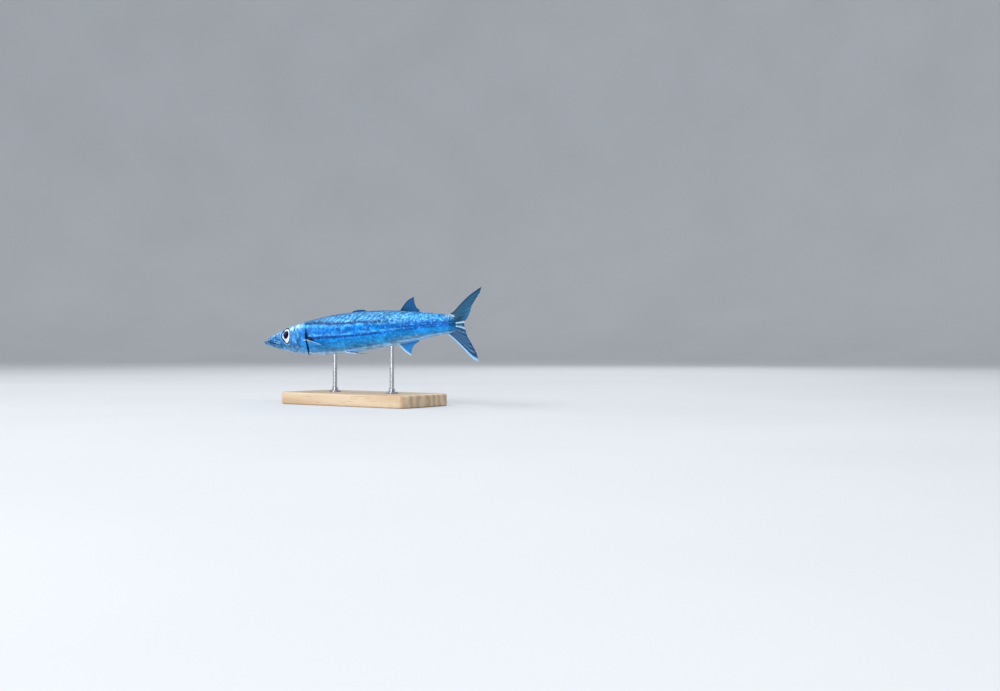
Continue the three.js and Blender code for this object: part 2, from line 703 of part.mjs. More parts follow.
function plateGeometry() {
  const inset = PLATE_BEVEL;
  const halfLength = PLATE_LENGTH / 2 - inset;
  const halfWidth = PLATE_WIDTH / 2 - inset;
  const corner = PLATE_CORNER - inset;
  const shape = new THREE.Shape();
  shape.moveTo(-halfLength + corner, -halfWidth);
  shape.lineTo(halfLength - corner, -halfWidth);
  shape.absarc(halfLength - corner, -halfWidth + corner, corner, -Math.PI / 2, 0, false);
  shape.lineTo(halfLength, halfWidth - corner);
  shape.absarc(halfLength - corner, halfWidth - corner, corner, 0, Math.PI / 2, false);
  shape.lineTo(-halfLength + corner, halfWidth);
  shape.absarc(-halfLength + corner, halfWidth - corner, corner, Math.PI / 2, Math.PI, false);
  shape.lineTo(-halfLength, -halfWidth + corner);
  shape.absarc(-halfLength + corner, -halfWidth + corner, corner, Math.PI, 1.5 * Math.PI, false);
  const geometry = new THREE.ExtrudeGeometry(shape, {
    depth: PLATE_HEIGHT - 2 * PLATE_BEVEL,
    bevelEnabled: true,
    bevelThickness: PLATE_BEVEL,
    bevelSize: PLATE_BEVEL,
    bevelSegments: 3,
    curveSegments: 6,
  });
  return geometry.translate(0, 0, PLATE_BEVEL);
}

function rodGeometry(place) {
  const foot = PLATE_HEIGHT + GAP;
  const profile = [
    new THREE.Vector2(0, foot),
    new THREE.Vector2(ROD_FOOT_RADIUS, foot),
    new THREE.Vector2(ROD_FOOT_RADIUS, foot + 0.6 * ROD_FOOT_HEIGHT),
    new THREE.Vector2(ROD_FOOT_RADIUS - 0.8, foot + ROD_FOOT_HEIGHT),
    new THREE.Vector2(ROD_RADIUS, foot + ROD_FOOT_HEIGHT),
    new THREE.Vector2(ROD_RADIUS, AXIS_HEIGHT - ROD_REACH),
    new THREE.Vector2(0, AXIS_HEIGHT - ROD_REACH),
  ];
  const rod = new THREE.LatheGeometry(profile, 20).rotateX(Math.PI / 2);
  const body = trunkMesh.geometry.clone().applyMatrix4(trunkMesh.matrixWorld).translate(0, 0, -GAP);
  return geometryOf(solidOf(rod.translate(place, 0, 0)).subtract(solidOf(body)));
}

standPart('stand_base', plateGeometry(), finish.wood);
standPart('stand_rod_front', rodGeometry(ROD_PLACES.front), finish.steel);
standPart('stand_rod_rear', rodGeometry(ROD_PLACES.rear), finish.steel);

const barracuda = new THREE.Group();
barracuda.add(fish, stand);

export default barracuda;
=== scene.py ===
import math

import bpy
import numpy as np
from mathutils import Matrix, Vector


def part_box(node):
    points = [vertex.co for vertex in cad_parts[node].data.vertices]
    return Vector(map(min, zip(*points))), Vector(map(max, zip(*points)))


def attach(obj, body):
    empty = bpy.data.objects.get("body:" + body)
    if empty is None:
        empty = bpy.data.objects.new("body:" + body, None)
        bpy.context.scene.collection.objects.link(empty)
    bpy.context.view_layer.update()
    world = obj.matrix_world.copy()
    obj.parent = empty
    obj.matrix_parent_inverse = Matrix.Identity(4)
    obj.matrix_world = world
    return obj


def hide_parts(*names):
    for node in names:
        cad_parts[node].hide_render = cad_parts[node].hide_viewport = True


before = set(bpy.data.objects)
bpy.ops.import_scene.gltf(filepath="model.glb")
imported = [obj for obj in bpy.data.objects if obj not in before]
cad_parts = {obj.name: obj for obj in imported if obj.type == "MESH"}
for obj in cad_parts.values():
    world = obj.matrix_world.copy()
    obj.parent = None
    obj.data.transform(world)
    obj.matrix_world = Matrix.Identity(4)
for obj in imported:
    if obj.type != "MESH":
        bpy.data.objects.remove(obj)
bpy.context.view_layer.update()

# A young yellowtail barracuda as a museum model, held over a wooden plate by two steel rods.
# Metres, +Z up, snout toward -X, left side toward -Y.
# The fish is shaped straight along X and bent afterwards. Places along it are shares of its length, from
# the snout to the end of the tail's flesh.

MM = 0.001
LENGTH = 300 * MM

# Pose: the share over the plate's middle, how far the tail swings and over which shares, and the tilt
MIDDLE = 0.52
SWING = 33.7 * MM
SWING_START = 0.5
SWING_SPAN = 0.67
NOSE_DOWN = math.radians(3)
AXIS_HEIGHT = 83 * MM

# Body: share of length, then top, bottom and half width as shares of length
STATIONS = np.array([
    [0.000, 0.0075, -0.0160, 0.0045],
    [0.008, 0.0106, -0.0200, 0.0078],
    [0.030, 0.0178, -0.0288, 0.0130],
    [0.070, 0.0285, -0.0412, 0.0205],
    [0.125, 0.0440, -0.0530, 0.0312],
    [0.180, 0.0530, -0.0628, 0.0412],
    [0.250, 0.0640, -0.0700, 0.0500],
    [0.350, 0.0755, -0.0750, 0.0560],
    [0.480, 0.0808, -0.0725, 0.0575],
    [0.600, 0.0790, -0.0640, 0.0535],
    [0.700, 0.0722, -0.0560, 0.0455],
    [0.800, 0.0610, -0.0450, 0.0335],
    [0.900, 0.0475, -0.0338, 0.0208],
    [0.955, 0.0407, -0.0303, 0.0148],
    [0.975, 0.0398, -0.0303, 0.0122],
    [0.990, 0.0382, -0.0290, 0.0085],
    [0.998, 0.0350, -0.0260, 0.0040],
])

# How boxy the body is in section: 2 is an ellipse
HEAD_TOP_POWER = 2.8
HEAD_UNDER_POWER = 1.85
TRUNK_POWER = 2.15
POWER_START = 0.16
POWER_SPAN = 0.14
TAIL_END = STATIONS[-1, 0]

# Head lines, as share of length and height as share of length
GILL_EDGE = [
    (0.224, 0.110), (0.236, 0.060), (0.254, 0.042), (0.2625, 0.024), (0.264, 0.006), (0.2635, -0.010),
    (0.264, -0.024), (0.263, -0.036), (0.2595, -0.048), (0.2525, -0.059), (0.236, -0.0675), (0.215, -0.110),
]
MOUTH_LINE = [
    (-0.040, -0.0060), (-0.012, -0.0048), (0.004, -0.0050), (0.030, -0.0118), (0.060, -0.0196),
    (0.095, -0.0258),
]
MOUTH_CORNER = 0.095
JAW_REACH = 6 * MM
NOSE_REACH = 1.3 * MM
LIP_RISE = 0.42 * MM
LIP_PLACE = 1.15 * MM
LIP_WIDTH = 0.65 * MM
GAPE_DEPTH = 0.85 * MM
GAPE_WIDTH = 0.30 * MM
GAPE_SHADE = 0.42 * MM
HEAD_FLARE = 0.8 * MM
FLARE_ALONG = (0.17, 0.24)
FLARE_TOP = (0.062, 0.044)

# Eyes
EYE_PLACE = 0.134
EYE_HEIGHT = 3.9 * MM
EYE_RADIUS = 7.4 * MM
EYE_SEAT = 7.6 * MM
EYE_FORWARD = math.radians(9)
EYE_UPWARD = math.radians(8)
SOCKET_EDGE = 7.6 * MM
ORBIT_REACH = 16 * MM
ORBIT_FLOOR = -9 * MM
ORBIT_UNIT = 10 * MM
ORBIT_STEPS = 600
RIM_RISE = 0.42 * MM
RIM_PLACE = 0.25 * MM
RIM_WIDTH = 0.55 * MM
RIM_FADE = 2.0 * MM
LEDGE = 1.15 * MM
DIP_POWER = 0.8
WELL_DEPTH = 3.2 * MM

# Edge of the orbit, drawn to a point in front and below: degrees turned up from the rear, then millimetres
RIM_LINE = [
    (0, 7.85), (22, 7.8), (45, 7.8), (68, 7.8), (92, 7.8), (116, 7.8), (138, 7.9), (155, 8.4), (168, 9.5),
    (182, 10.2), (196, 9.4), (212, 8.5), (230, 8.1), (248, 8.4), (264, 9.2), (278, 10.8), (290, 10.5),
    (305, 10.2), (320, 9.7), (335, 8.9), (348, 8.2),
]

# Grid of the skin: columns along the fish, rows round it
NOSE_COLUMNS = 6
HEAD_COLUMNS = 188
HEAD_EASE = 1.08
TRUNK_COLUMNS = 158
TRUNK_EASE = 1.06
SLEEVE_COLUMNS = 7
HALF_ROUND = 120
GILL_GUESS = 0.25
GILL_PASSES = 6

# Gill flap in section: millimetres behind the gill's edge, then millimetres over the body
FLAP = [
    (0.0, 0.35), (-0.10, -0.05), (-0.60, -0.80), (-0.20, -1.50), (0.60, -1.35), (1.30, -0.75), (2.0, -0.18),
]
FLAP_REST = 0.4 * MM
FLAP_ROLL = 0.45 * MM
FLAP_ROLL_WIDTH = 1.6 * MM

# Sleeve of flesh over the roots of the tail fin's rays
SLEEVE_REACH = 3.6 * MM
SLEEVE_EDGE = 0.42
SLEEVE_CURVE = 0.35
SLEEVE_SPREAD = 0.9 * MM
COAT_DEPTH = 0.22 * MM


def smooth(x, low, high):
    t = np.clip((x - low) / (high - low), 0, 1)
    return t * t * (3 - 2 * t)


def bump(x, width):
    return np.exp(-((x / width) ** 2))


# The body's surface

def station_values(share):
    """Top, bottom and half width at each share, in metres."""
    at, sizes = STATIONS[:, 0], STATIONS[:, 1:]
    last = len(at) - 1
    k = np.arange(last + 1)
    before, after = np.maximum(k - 1, 0), np.minimum(k + 1, last)
    slopes = (sizes[after] - sizes[before]) / (at[after] - at[before])[:, None]
    i = np.clip(np.searchsorted(at, share) - 1, 0, last - 1)
    step = (at[i + 1] - at[i])[..., None]
    t = np.clip((share - at[i])[..., None] / step, 0, 1)
    start, end = 2 * t**3 - 3 * t**2 + 1, 3 * t**2 - 2 * t**3
    out, back = (t**3 - 2 * t**2 + t) * step, (t**3 - t**2) * step
    return LENGTH * (start * sizes[i] + out * slopes[i] + end * sizes[i + 1] + back * slopes[i + 1])


def section(share):
    """Middle height, half height, half width, and the powers of the upper and the under side."""
    share = np.asarray(share, float)
    top, bottom, wide = np.moveaxis(station_values(share), -1, 0)
    blend = smooth(share, POWER_START, POWER_START + POWER_SPAN)
    upper = HEAD_TOP_POWER + (TRUNK_POWER - HEAD_TOP_POWER) * blend
    under = HEAD_UNDER_POWER + (TRUNK_POWER - HEAD_UNDER_POWER) * blend
    return (top + bottom) / 2, (top - bottom) / 2, wide, upper, under


def level_at(share, z):
    """Height on the body, from 0 at the belly to 1 at the back."""
    middle, tall, *_ = section(share)
    return (z - middle) / (2 * tall) + 0.5


def surface_width(x, z):
    middle, tall, wide, upper, under = section(x / LENGTH)
    power = np.where(z > middle, upper, under)
    rise = np.minimum(abs(z - middle) / tall, 1)
    return wide * (1 - rise**power) ** (1 / power)


def ring_point(share, angle):
    middle, tall, wide, upper, under = section(share)
    c, s = np.cos(angle), np.sin(angle)
    power = 2 / np.where(s > 0, upper, under)
    return wide * abs(c) ** power, middle + tall * np.sign(s) * abs(s) ** power


# Each half ring is measured by its arc, from 0 at the belly to 1 at the back
ARC_SHARES = np.linspace(0, TAIL_END, 220)
ARC_STEPS = 90
TURN_STEPS = 900
HEIGHT_STEPS = 400


def measure_arcs():
    angles = np.linspace(-math.pi / 2, math.pi / 2, TURN_STEPS + 1)
    turns, lengths = [], []
    for share in ARC_SHARES:
        y, z = ring_point(share, angles)
        run = np.concatenate([[0], np.cumsum(np.hypot(np.diff(y), np.diff(z)))])
        turns.append(np.interp(np.linspace(0, 1, ARC_STEPS + 1), run / run[-1], angles))
        lengths.append(run[-1])
    return np.array(turns), np.array(lengths)


ARC_ANGLES, ARC_LENGTHS = measure_arcs()


def half_length(share):
    return np.interp(share, ARC_SHARES, ARC_LENGTHS)


def half_ring(share, arc):
    """Side and height of the point at an arc from 0 to 1, on the fish's right side."""
    share, arc = np.broadcast_arrays(share, arc)
    a = np.clip(share / TAIL_END, 0, 1) * (len(ARC_SHARES) - 1)
    b = np.clip(arc, 0, 1) * ARC_STEPS
    i = np.minimum(a.astype(int), len(ARC_SHARES) - 2)
    j = np.minimum(b.astype(int), ARC_STEPS - 1)
    p, q = a - i, b - j
    near = ARC_ANGLES[i, j] * (1 - q) + ARC_ANGLES[i, j + 1] * q
    far = ARC_ANGLES[i + 1, j] * (1 - q) + ARC_ANGLES[i + 1, j + 1] * q
    return ring_point(share, near * (1 - p) + far * p)


def arc_at_height(share, height):
    """The arc whose point lies at a height, for each share."""
    steps = np.linspace(0, 1, HEIGHT_STEPS)
    return np.array([np.interp(h, half_ring(s, steps)[1], steps) for s, h in zip(share, height)])


def body_point(share, around):
    """A point of the bare body. Around runs 0 to 1 up the right side and 1 to 2 down the left."""
    around = around % 2
    arc = np.where(around > 1, 2 - around, around)
    y, z = half_ring(share, arc)
    return np.stack([share * LENGTH, np.where(around > 1, -y, y), z], -1)


def line(points, steps=40):
    """A smooth line through points, as arrays of its two coordinates."""
    path = smooth_path(np.array([[a, b, 0] for a, b in points], float))
    at = path(np.linspace(0, 1, steps + 1))
    return at[:, 0], at[:, 1]


def smooth_path(points):
    """A curve through points, with knots spaced by the square root of their distance."""
    first, last = 2 * points[0] - points[1], 2 * points[-1] - points[-2]
    knots = np.vstack([first, points, last])
    gaps = np.sqrt(np.linalg.norm(np.diff(knots, axis=0), axis=1))

    def at(t):
        t = np.clip(np.asarray(t, float), 0, 1) * (len(points) - 1)
        i = np.minimum(t.astype(int), len(points) - 2)
        w = (t - i)[..., None]
        p0, p1, p2, p3 = knots[i], knots[i + 1], knots[i + 2], knots[i + 3]
        d0, d1, d2 = gaps[i][..., None], gaps[i + 1][..., None], gaps[i + 2][..., None]
        out = ((p1 - p0) / d0 - (p2 - p0) / (d0 + d1) + (p2 - p1) / d1) * d1
        back = ((p2 - p1) / d1 - (p3 - p1) / (d1 + d2) + (p3 - p2) / d2) * d1
        return ((2 * w**3 - 3 * w**2 + 1) * p1 + (w**3 - 2 * w**2 + w) * out
                + (3 * w**2 - 2 * w**3) * p2 + (w**3 - w**2) * back)

    return at


def distance_to(line_points, x, z):
    """Distance from places on the fish's side to a line of shares and heights, in metres."""
    a, b = line(line_points)
    a, b = a * LENGTH, b * LENGTH
    best = np.full(np.shape(x), 1.0)
    for k in range(len(a) - 1):
        dx, dz = a[k + 1] - a[k], b[k + 1] - b[k]
        t = np.clip(((x - a[k]) * dx + (z - b[k]) * dz) / (dx * dx + dz * dz), 0, 1)
        best = np.minimum(best, np.hypot(x - a[k] - t * dx, z - b[k] - t * dz))
    return best


GILL_SHARES, GILL_HEIGHTS = line(GILL_EDGE)
MOUTH_SHARES, MOUTH_HEIGHTS = line(MOUTH_LINE)


def gill_share(z):
    return np.interp(-z / LENGTH, -GILL_HEIGHTS, GILL_SHARES)


def mouth_height(share):
    return LENGTH * np.interp(share, MOUTH_SHARES, MOUTH_HEIGHTS)


def jaw_shift(share):
    return -JAW_REACH * np.maximum(1 - share / MOUTH_CORNER, 0) ** 2


def settle(points):
    """Bends the hind body toward the left and sets the fish over its stand."""
    x, y, z = np.moveaxis(points, -1, 0)
    t = np.maximum((x / LENGTH - SWING_START) / SWING_SPAN, 0)
    slope = -3 * SWING * t**2 / (SWING_SPAN * LENGTH)
    size = np.hypot(1, slope)
    along = x - MIDDLE * LENGTH - slope / size * y
    across = -SWING * t**3 + y / size
    c, s = math.cos(NOSE_DOWN), math.sin(NOSE_DOWN)
    return np.stack([along * c - z * s, across, along * s + z * c + AXIS_HEIGHT], -1)


# Meshes

def clear_selection():
    bpy.ops.object.select_all(action="DESELECT")


def select_only(piece):
    clear_selection()
    piece.select_set(True)
    bpy.context.view_layer.objects.active = piece


def finish_piece(piece, name, material):
    piece.name = name
    piece.data.name = name
    piece.data.materials.clear()
    piece.data.materials.append(material)
    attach(piece, "root")


def edit(piece, *steps):
    """Runs mesh operators on the whole of a piece."""
    select_only(piece)
    bpy.ops.object.mode_set(mode="EDIT")
    bpy.ops.mesh.select_all(action="SELECT")
    for step in steps:
        step()
    bpy.ops.object.mode_set(mode="OBJECT")


def weld():
    bpy.ops.mesh.remove_doubles(threshold=1e-6)
    bpy.ops.mesh.normals_make_consistent(inside=False)


def laid_grid(points, notes):
    """A grid laid on an array of points, welded where its edges meet. Notes are values kept per vertex."""
    rows, columns = points.shape[:2]
    clear_selection()
    bpy.ops.mesh.primitive_grid_add(x_subdivisions=columns - 1, y_subdivisions=rows - 1, size=1)
    piece = bpy.context.object
    piece.data.vertices.foreach_set("co", points.astype(np.float32).ravel())
    write_notes(piece.data, notes)
    edit(piece, weld)
    bpy.ops.object.shade_smooth()
    return piece


def write_notes(mesh, notes):
    for name, values in notes.items():
        values = np.asarray(values, np.float32)
        whole = values.reshape(-1, 3) if values.shape[-1] == 3 and values.ndim > 1 else values.ravel()
        kind, key = ("FLOAT_VECTOR", "vector") if whole.ndim == 2 else ("FLOAT", "value")
        mesh.attributes.new(name, kind, "POINT").data.foreach_set(key, whole.ravel())


def joined_mesh(name, points, faces, notes):
    mesh = bpy.data.meshes.new(name)
    mesh.from_pydata(points.reshape(-1, 3).tolist(), [], faces.reshape(-1, faces.shape[-1]).tolist())
    write_notes(mesh, notes)
    piece = bpy.data.objects.new(name, mesh)
    bpy.context.scene.collection.objects.link(piece)
    return piece


def set_places(piece, move):
    """Moves all of a mesh's points."""
    co = np.zeros(len(piece.data.vertices) * 3, np.float32)
    piece.data.vertices.foreach_get("co", co)
    moved = move(co.reshape(-1, 3).astype(float))
    piece.data.vertices.foreach_set("co", moved.astype(np.float32).ravel())
    piece.data.update()


def turned(name, profile, sides, open_top=False):
    """A turned piece: rings of a radius and a height drawn up one after another, closed at its ends."""
    clear_selection()
    radius, height = profile[0]
    bpy.ops.mesh.primitive_circle_add(vertices=sides, radius=radius, location=(0, 0, height))
    piece = bpy.context.object
    piece.name = name
    bpy.ops.object.transform_apply(location=True)
    bpy.ops.object.mode_set(mode="EDIT")
    bpy.ops.mesh.select_all(action="SELECT")
    bpy.ops.mesh.edge_face_add()
    for wide, high in profile[1:]:
        step = (0, 0, high - height)
        bpy.ops.mesh.extrude_region_move(TRANSFORM_OT_translate={"value": step})
        size = wide / radius
        bpy.ops.transform.resize(value=(size, size, 1), center_override=(0, 0, high))
        radius, height = wide, high
    if open_top:
        bpy.ops.mesh.delete(type="FACE")
    bpy.ops.mesh.select_all(action="SELECT")
    bpy.ops.mesh.normals_make_consistent(inside=open_top)
    bpy.ops.object.mode_set(mode="OBJECT")
    return piece


# Materials

# Sockets of a colour mix: its two colours and its result
MIX_FIRST = 6
MIX_SECOND = 7
MIX_RESULT = 2


class Recipe:
    """A material's nodes, added one by one."""

    def __init__(self, name):
        self.material = bpy.data.materials.new(name)
        self.material.use_nodes = True
        self.tree = self.material.node_tree
        self.tree.nodes.clear()
        out = self.tree.nodes.new("ShaderNodeOutputMaterial")
        self.shader = self.tree.nodes.new("ShaderNodeBsdfPrincipled")
        self.tree.links.new(self.shader.outputs[0], out.inputs[0])
        self.object = self.add("TexCoord").outputs["Object"]

    def put(self, socket, value):
        if isinstance(value, bpy.types.NodeSocket):
            self.tree.links.new(value, socket)
        else:
            socket.default_value = value

    def add(self, kind, inputs=(), **settings):
        node = self.tree.nodes.new("ShaderNode" + kind)
        for key, value in settings.items():
            setattr(node, key, value)
        for key, value in dict(inputs).items():
            self.put(node.inputs[key], value)
        return node

    def set(self, **values):
        """Fills sockets of the shader, each named with underscores for its spaces."""
        for key, value in values.items():
            self.put(self.shader.inputs[key.replace("_", " ")], value)

    def note(self, name, kind="Fac"):
        """A value that the mesh keeps at each vertex, or with kind Vector, three values."""
        return self.add("Attribute", attribute_name=name).outputs[kind]

    def place(self):
        """The three values of a mesh's own place: along and up on the skin, across and along on a fin."""
        return self.add("SeparateXYZ", {0: self.note("place", "Vector")}).outputs

    def math(self, operation, a, b=0.0, c=0.0):
        return self.add("Math", {0: a, 1: b, 2: c}, operation=operation).outputs[0]

    def plus(self, a, b):
        return self.math("ADD", a, b)

    def less(self, a, b):
        return self.math("SUBTRACT", a, b)

    def off(self, a, b):
        return self.math("ABSOLUTE", self.less(a, b))

    def times(self, first, *others):
        for value in others:
            first = self.math("MULTIPLY", first, value)
        return first

    def fit(self, value, low, high, to_low=0.0, to_high=1.0):
        inputs = {"Value": value, "From Min": low, "From Max": high, "To Min": to_low, "To Max": to_high}
        return self.add("MapRange", inputs, interpolation_type="SMOOTHSTEP").outputs[0]

    def fall(self, value, low, high, to_high=0.0):
        return self.fit(value, low, high, 1, to_high)

    def window(self, value, rise, fall):
        """Two factors: one grows over the first range of a value, one fades over the second."""
        return self.fit(value, *rise), self.fall(value, *fall)

    def course(self, value, points):
        """A value read off a smooth line of points."""
        node = self.add("FloatCurve", {"Value": value})
        curve = node.mapping.curves[0]
        for x, y in points[1:-1]:
            curve.points.new(x, y)
        for point, place in zip(curve.points, points):
            point.location = place
        node.mapping.update()
        return node.outputs[0]

    def stretched(self, scale, turn=(0, 0, 0)):
        return self.add("Mapping", {"Vector": self.object, "Scale": scale, "Rotation": turn}).outputs[0]

    def noise(self, scale, detail=2.0, vector=None, roughness=0.5):
        inputs = {"Vector": vector or self.object, "Scale": scale, "Detail": detail, "Roughness": roughness}
        return self.add("TexNoise", inputs).outputs["Fac"]

    def wave(self, vector, direction, **inputs):
        named = {key.replace("_", " "): value for key, value in inputs.items()}
        return self.add("TexWave", {"Vector": vector, **named}, bands_direction=direction).outputs["Fac"]

    def ramp(self, value, stops):
        node = self.add("ValToRGB", {"Fac": value})
        elements = node.color_ramp.elements
        for place, _ in stops[2:]:
            elements.new(place)
        for element, (place, colour) in zip(elements, stops):
            element.position = place
            element.color = linear(colour)
        return node.outputs["Color"]

    def mix(self, factor, under, over):
        """Lays one colour over another."""
        node = self.add("Mix", {0: factor}, data_type="RGBA")
        for key, colour in ((MIX_FIRST, under), (MIX_SECOND, over)):
            known = isinstance(colour, bpy.types.NodeSocket)
            self.put(node.inputs[key], colour if known else linear(colour))
        return node.outputs[MIX_RESULT]

    def brighter(self, colour, factor):
        return self.add("VectorMath", {0: colour, "Scale": factor}, operation="SCALE").outputs[0]

    def relief(self, height, distance, strength=1.0):
        return self.add("Bump", {"Height": height, "Distance": distance, "Strength": strength}).outputs[0]


def linear(colour):
    """A screen colour in 0 to 255, turned into linear light."""
    def channel(c):
        c = c / 255
        return c / 12.92 if c <= 0.04045 else ((c + 0.055) / 1.055) ** 2.4
    return (*(channel(c) for c in colour), 1.0)


# Paint of the skin. Places along the fish are shares of its length, and places up it run from 0 at the
# belly to 1 at the back. Colours are given in 0 to 255.

DARK_LINE = [
    (0.0, 0.94), (0.25, 0.89), (0.37, 0.79), (0.45, 0.742), (0.58, 0.718), (0.67, 0.69), (0.80, 0.655),
    (1.0, 0.62),
]
PALE_LINE = [
    (0.0, 0.86), (0.25, 0.80), (0.37, 0.70), (0.45, 0.668), (0.58, 0.650), (0.70, 0.622), (0.88, 0.577),
    (1.0, 0.56),
]
LOW_DARK_LINE = [
    (0.0, 0.47), (0.28, 0.455), (0.38, 0.425), (0.50, 0.391), (0.60, 0.376), (0.70, 0.385), (1.0, 0.40),
]
LOW_PALE_LINE = [
    (0.0, 0.53), (0.28, 0.515), (0.38, 0.48), (0.50, 0.446), (0.60, 0.440), (0.70, 0.44), (1.0, 0.45),
]
STRIPE_FADE_IN = 0.04
STRIPE_FADE_OUT = 0.12
BAR_LEAN = 0.15
BAR_SPACING = 0.027
BAR_WANDER = 13.0
BAR_GLINT = 1.6
DASH_SPACING = 0.105
# At the belly both ramps are partly the fish's own pale colour and partly painted light from below
BODY_PAINT = [
    (0.00, (168, 202, 248)), (0.03, (184, 216, 254)), (0.055, (148, 200, 248)), (0.095, (66, 146, 204)),
    (0.20, (30, 136, 204)), (0.34, (12, 138, 224)), (0.46, (4, 134, 232)), (0.58, (0, 124, 218)),
    (0.70, (0, 134, 230)), (0.80, (58, 168, 244)), (0.93, (60, 160, 228)), (1.00, (10, 94, 160)),
]
HEAD_PAINT = [
    (0.00, (150, 190, 232)), (0.05, (126, 172, 216)), (0.12, (66, 128, 176)), (0.26, (26, 112, 180)),
    (0.46, (8, 120, 200)), (0.62, (6, 126, 210)), (0.76, (40, 148, 222)), (0.88, (110, 192, 242)),
    (1.00, (92, 166, 224)),
]

# Marks of the head: place along and up, reach along and up, colour and strength
# The three near-white marks high on the crown and nape are painted highlights
HEAD_MARKS = [
    ((0.060, 0.90), (0.060, 0.060), (150, 206, 246), 0.8),
    ((0.012, 0.70), (0.012, 0.120), (150, 204, 240), 0.6),
    ((0.030, 0.46), (0.014, 0.080), (20, 74, 116), 0.6),
    ((0.082, 0.40), (0.020, 0.060), (128, 190, 232), 0.6),
    ((0.167, 0.87), (0.014, 0.070), (214, 244, 255), 0.9),
    ((0.186, 0.55), (0.012, 0.140), (92, 178, 244), 0.75),
    ((0.196, 0.40), (0.010, 0.060), (120, 196, 248), 0.6),
    ((0.222, 0.42), (0.006, 0.090), (4, 66, 120), 0.9),
    ((0.205, 0.89), (0.018, 0.070), (206, 242, 255), 0.9),
    ((0.240, 0.86), (0.014, 0.080), (214, 246, 255), 0.95),
    ((0.236, 0.64), (0.016, 0.070), (4, 70, 132), 0.75),
    ((0.246, 0.49), (0.008, 0.060), (142, 204, 250), 0.85),
]
MARK_RAGGED = 2.2
FLAP_LEVEL = 0.416

# Black crescent over the pectoral fin: where it starts, its length, its level, and how it drops and thins
CRESCENT_START = 0.2635
CRESCENT_LENGTH = 0.048
CRESCENT_LEVEL = 0.456
CRESCENT_DROP = 0.080
CRESCENT_CURVE = 2.2
CRESCENT_THINNING = 0.9


def silver_skin():
    """Silver scales and skin, painted mark by mark over a blend from pale belly to blue back."""
    r = Recipe("silver_skin")
    r.share, r.level = r.place()[:2]
    r.glint = r.note("glint")
    r.broad = r.noise(55, 3)
    r.ragged = r.noise(520, 3, r.stretched((0.45, 1, 1)))
    r.wisps = r.noise(340, 4, r.stretched((0.5, 1, 1), (0, math.radians(28), 0)))
    r.height = r.plus(r.level, r.times(r.less(r.ragged, 0.5), 0.06))
    r.above = r.less(r.height, r.course(r.share, DARK_LINE))
    flakes = r.add("TexVoronoi", {"Vector": r.stretched((1, 1, 1.8)), "Scale": 1250}).outputs["Color"]
    r.shine = r.add("SeparateXYZ", {0: flakes}).outputs[0]

    skin = r.ramp(r.height, BODY_PAINT)
    for paint in (
        stripes, back_bars, rear_net, tail_dashes, tail_belly, head_paint, gill_flap, orbit_paint,
        pectoral_crescent, tail_dusk, glitter,
    ):
        skin = paint(r, skin)

    fine = r.noise(2600, 2)
    mottle = r.plus(r.times(r.glint, 0.5), r.times(fine, 0.5))
    r.set(
        Base_Color=skin, Roughness=r.fit(mottle, 0.2, 0.8, 0.42, 0.22),
        Normal=r.relief(r.plus(fine, r.shine), 0.00006, 0.35),
        Metallic=0.35, Specular_IOR_Level=0.12, Coat_Weight=0.06, Coat_Roughness=0.14,
    )
    return r.material


def stripes(r, skin):
    """Two pale lines broken by wisps, and two dark lines under them."""
    broken = r.fit(r.wisps, 0.36, 0.60)
    faint = r.times(broken, r.fit(r.share, 0.28, 0.50, 0.35, 0.8))
    for colour, line_points, half, soft, start, end, strength in (
        ((96, 190, 252), PALE_LINE, 0.014, 0.04, 0.22, 0.78, faint),
        ((92, 182, 255), LOW_PALE_LINE, 0.014, 0.034, 0.26, 0.70, r.times(broken, 0.8)),
        ((0, 70, 138), DARK_LINE, 0.028, 0.030, 0.22, 0.62, 0.96),
        ((0, 78, 166), LOW_DARK_LINE, 0.017, 0.026, 0.24, 0.62, 0.94),
    ):
        off = r.off(r.height, r.course(r.share, line_points))
        across = r.fall(off, half, half + soft)
        along = r.window(r.share, (start, start + STRIPE_FADE_IN), (end, end + STRIPE_FADE_OUT))
        skin = r.mix(r.times(across, *along, strength), skin, colour)
    return skin


def back_bars(r, skin):
    """Slanted dark bars on the back, leaning toward the tail as they rise, with gleams between them."""
    lean = r.less(r.share, r.times(r.level, BAR_LEAN))
    wander = r.times(r.less(r.noise(130, 3), 0.5), BAR_WANDER)
    bars = r.math("SINE", r.plus(r.times(lean, 2 * math.pi / BAR_SPACING), wander))
    bars = r.plus(bars, r.times(r.less(r.glint, 0.45), BAR_GLINT))
    dark = r.times(
        r.fit(bars, -0.1, 0.9), r.fit(r.above, -0.03, 0.03),
        r.fit(r.share, 0.27, 0.40), r.fall(r.share, 0.74, 0.86, 0.3), 0.85,
    )
    skin = r.mix(dark, skin, (6, 92, 164))
    gleam = r.times(
        r.fall(bars, -0.8, 0.1, 0.15), r.fit(r.above, 0.0, 0.03), r.fall(r.above, 0.12, 0.26, 0.1),
        *r.window(r.share, (0.26, 0.31), (0.74, 0.86)), r.fit(r.wisps, 0.40, 0.58, 0.1, 0.75),
    )
    return r.mix(gleam, skin, (150, 210, 250))


def rear_net(r, skin):
    """A net of dark and bright specks, which takes over from the bars toward the tail."""
    net = r.noise(470, 3, r.stretched((0.7, 1, 1), (0, math.radians(-24), 0)))
    rear = r.times(r.fit(r.share, 0.42, 0.75), r.fit(r.above, -0.10, 0.0))
    skin = r.mix(r.times(r.fall(net, 0.34, 0.45), rear, 0.8), skin, (0, 72, 138))
    return r.mix(r.times(r.fit(net, 0.53, 0.62), rear, 0.75), skin, (134, 208, 252))


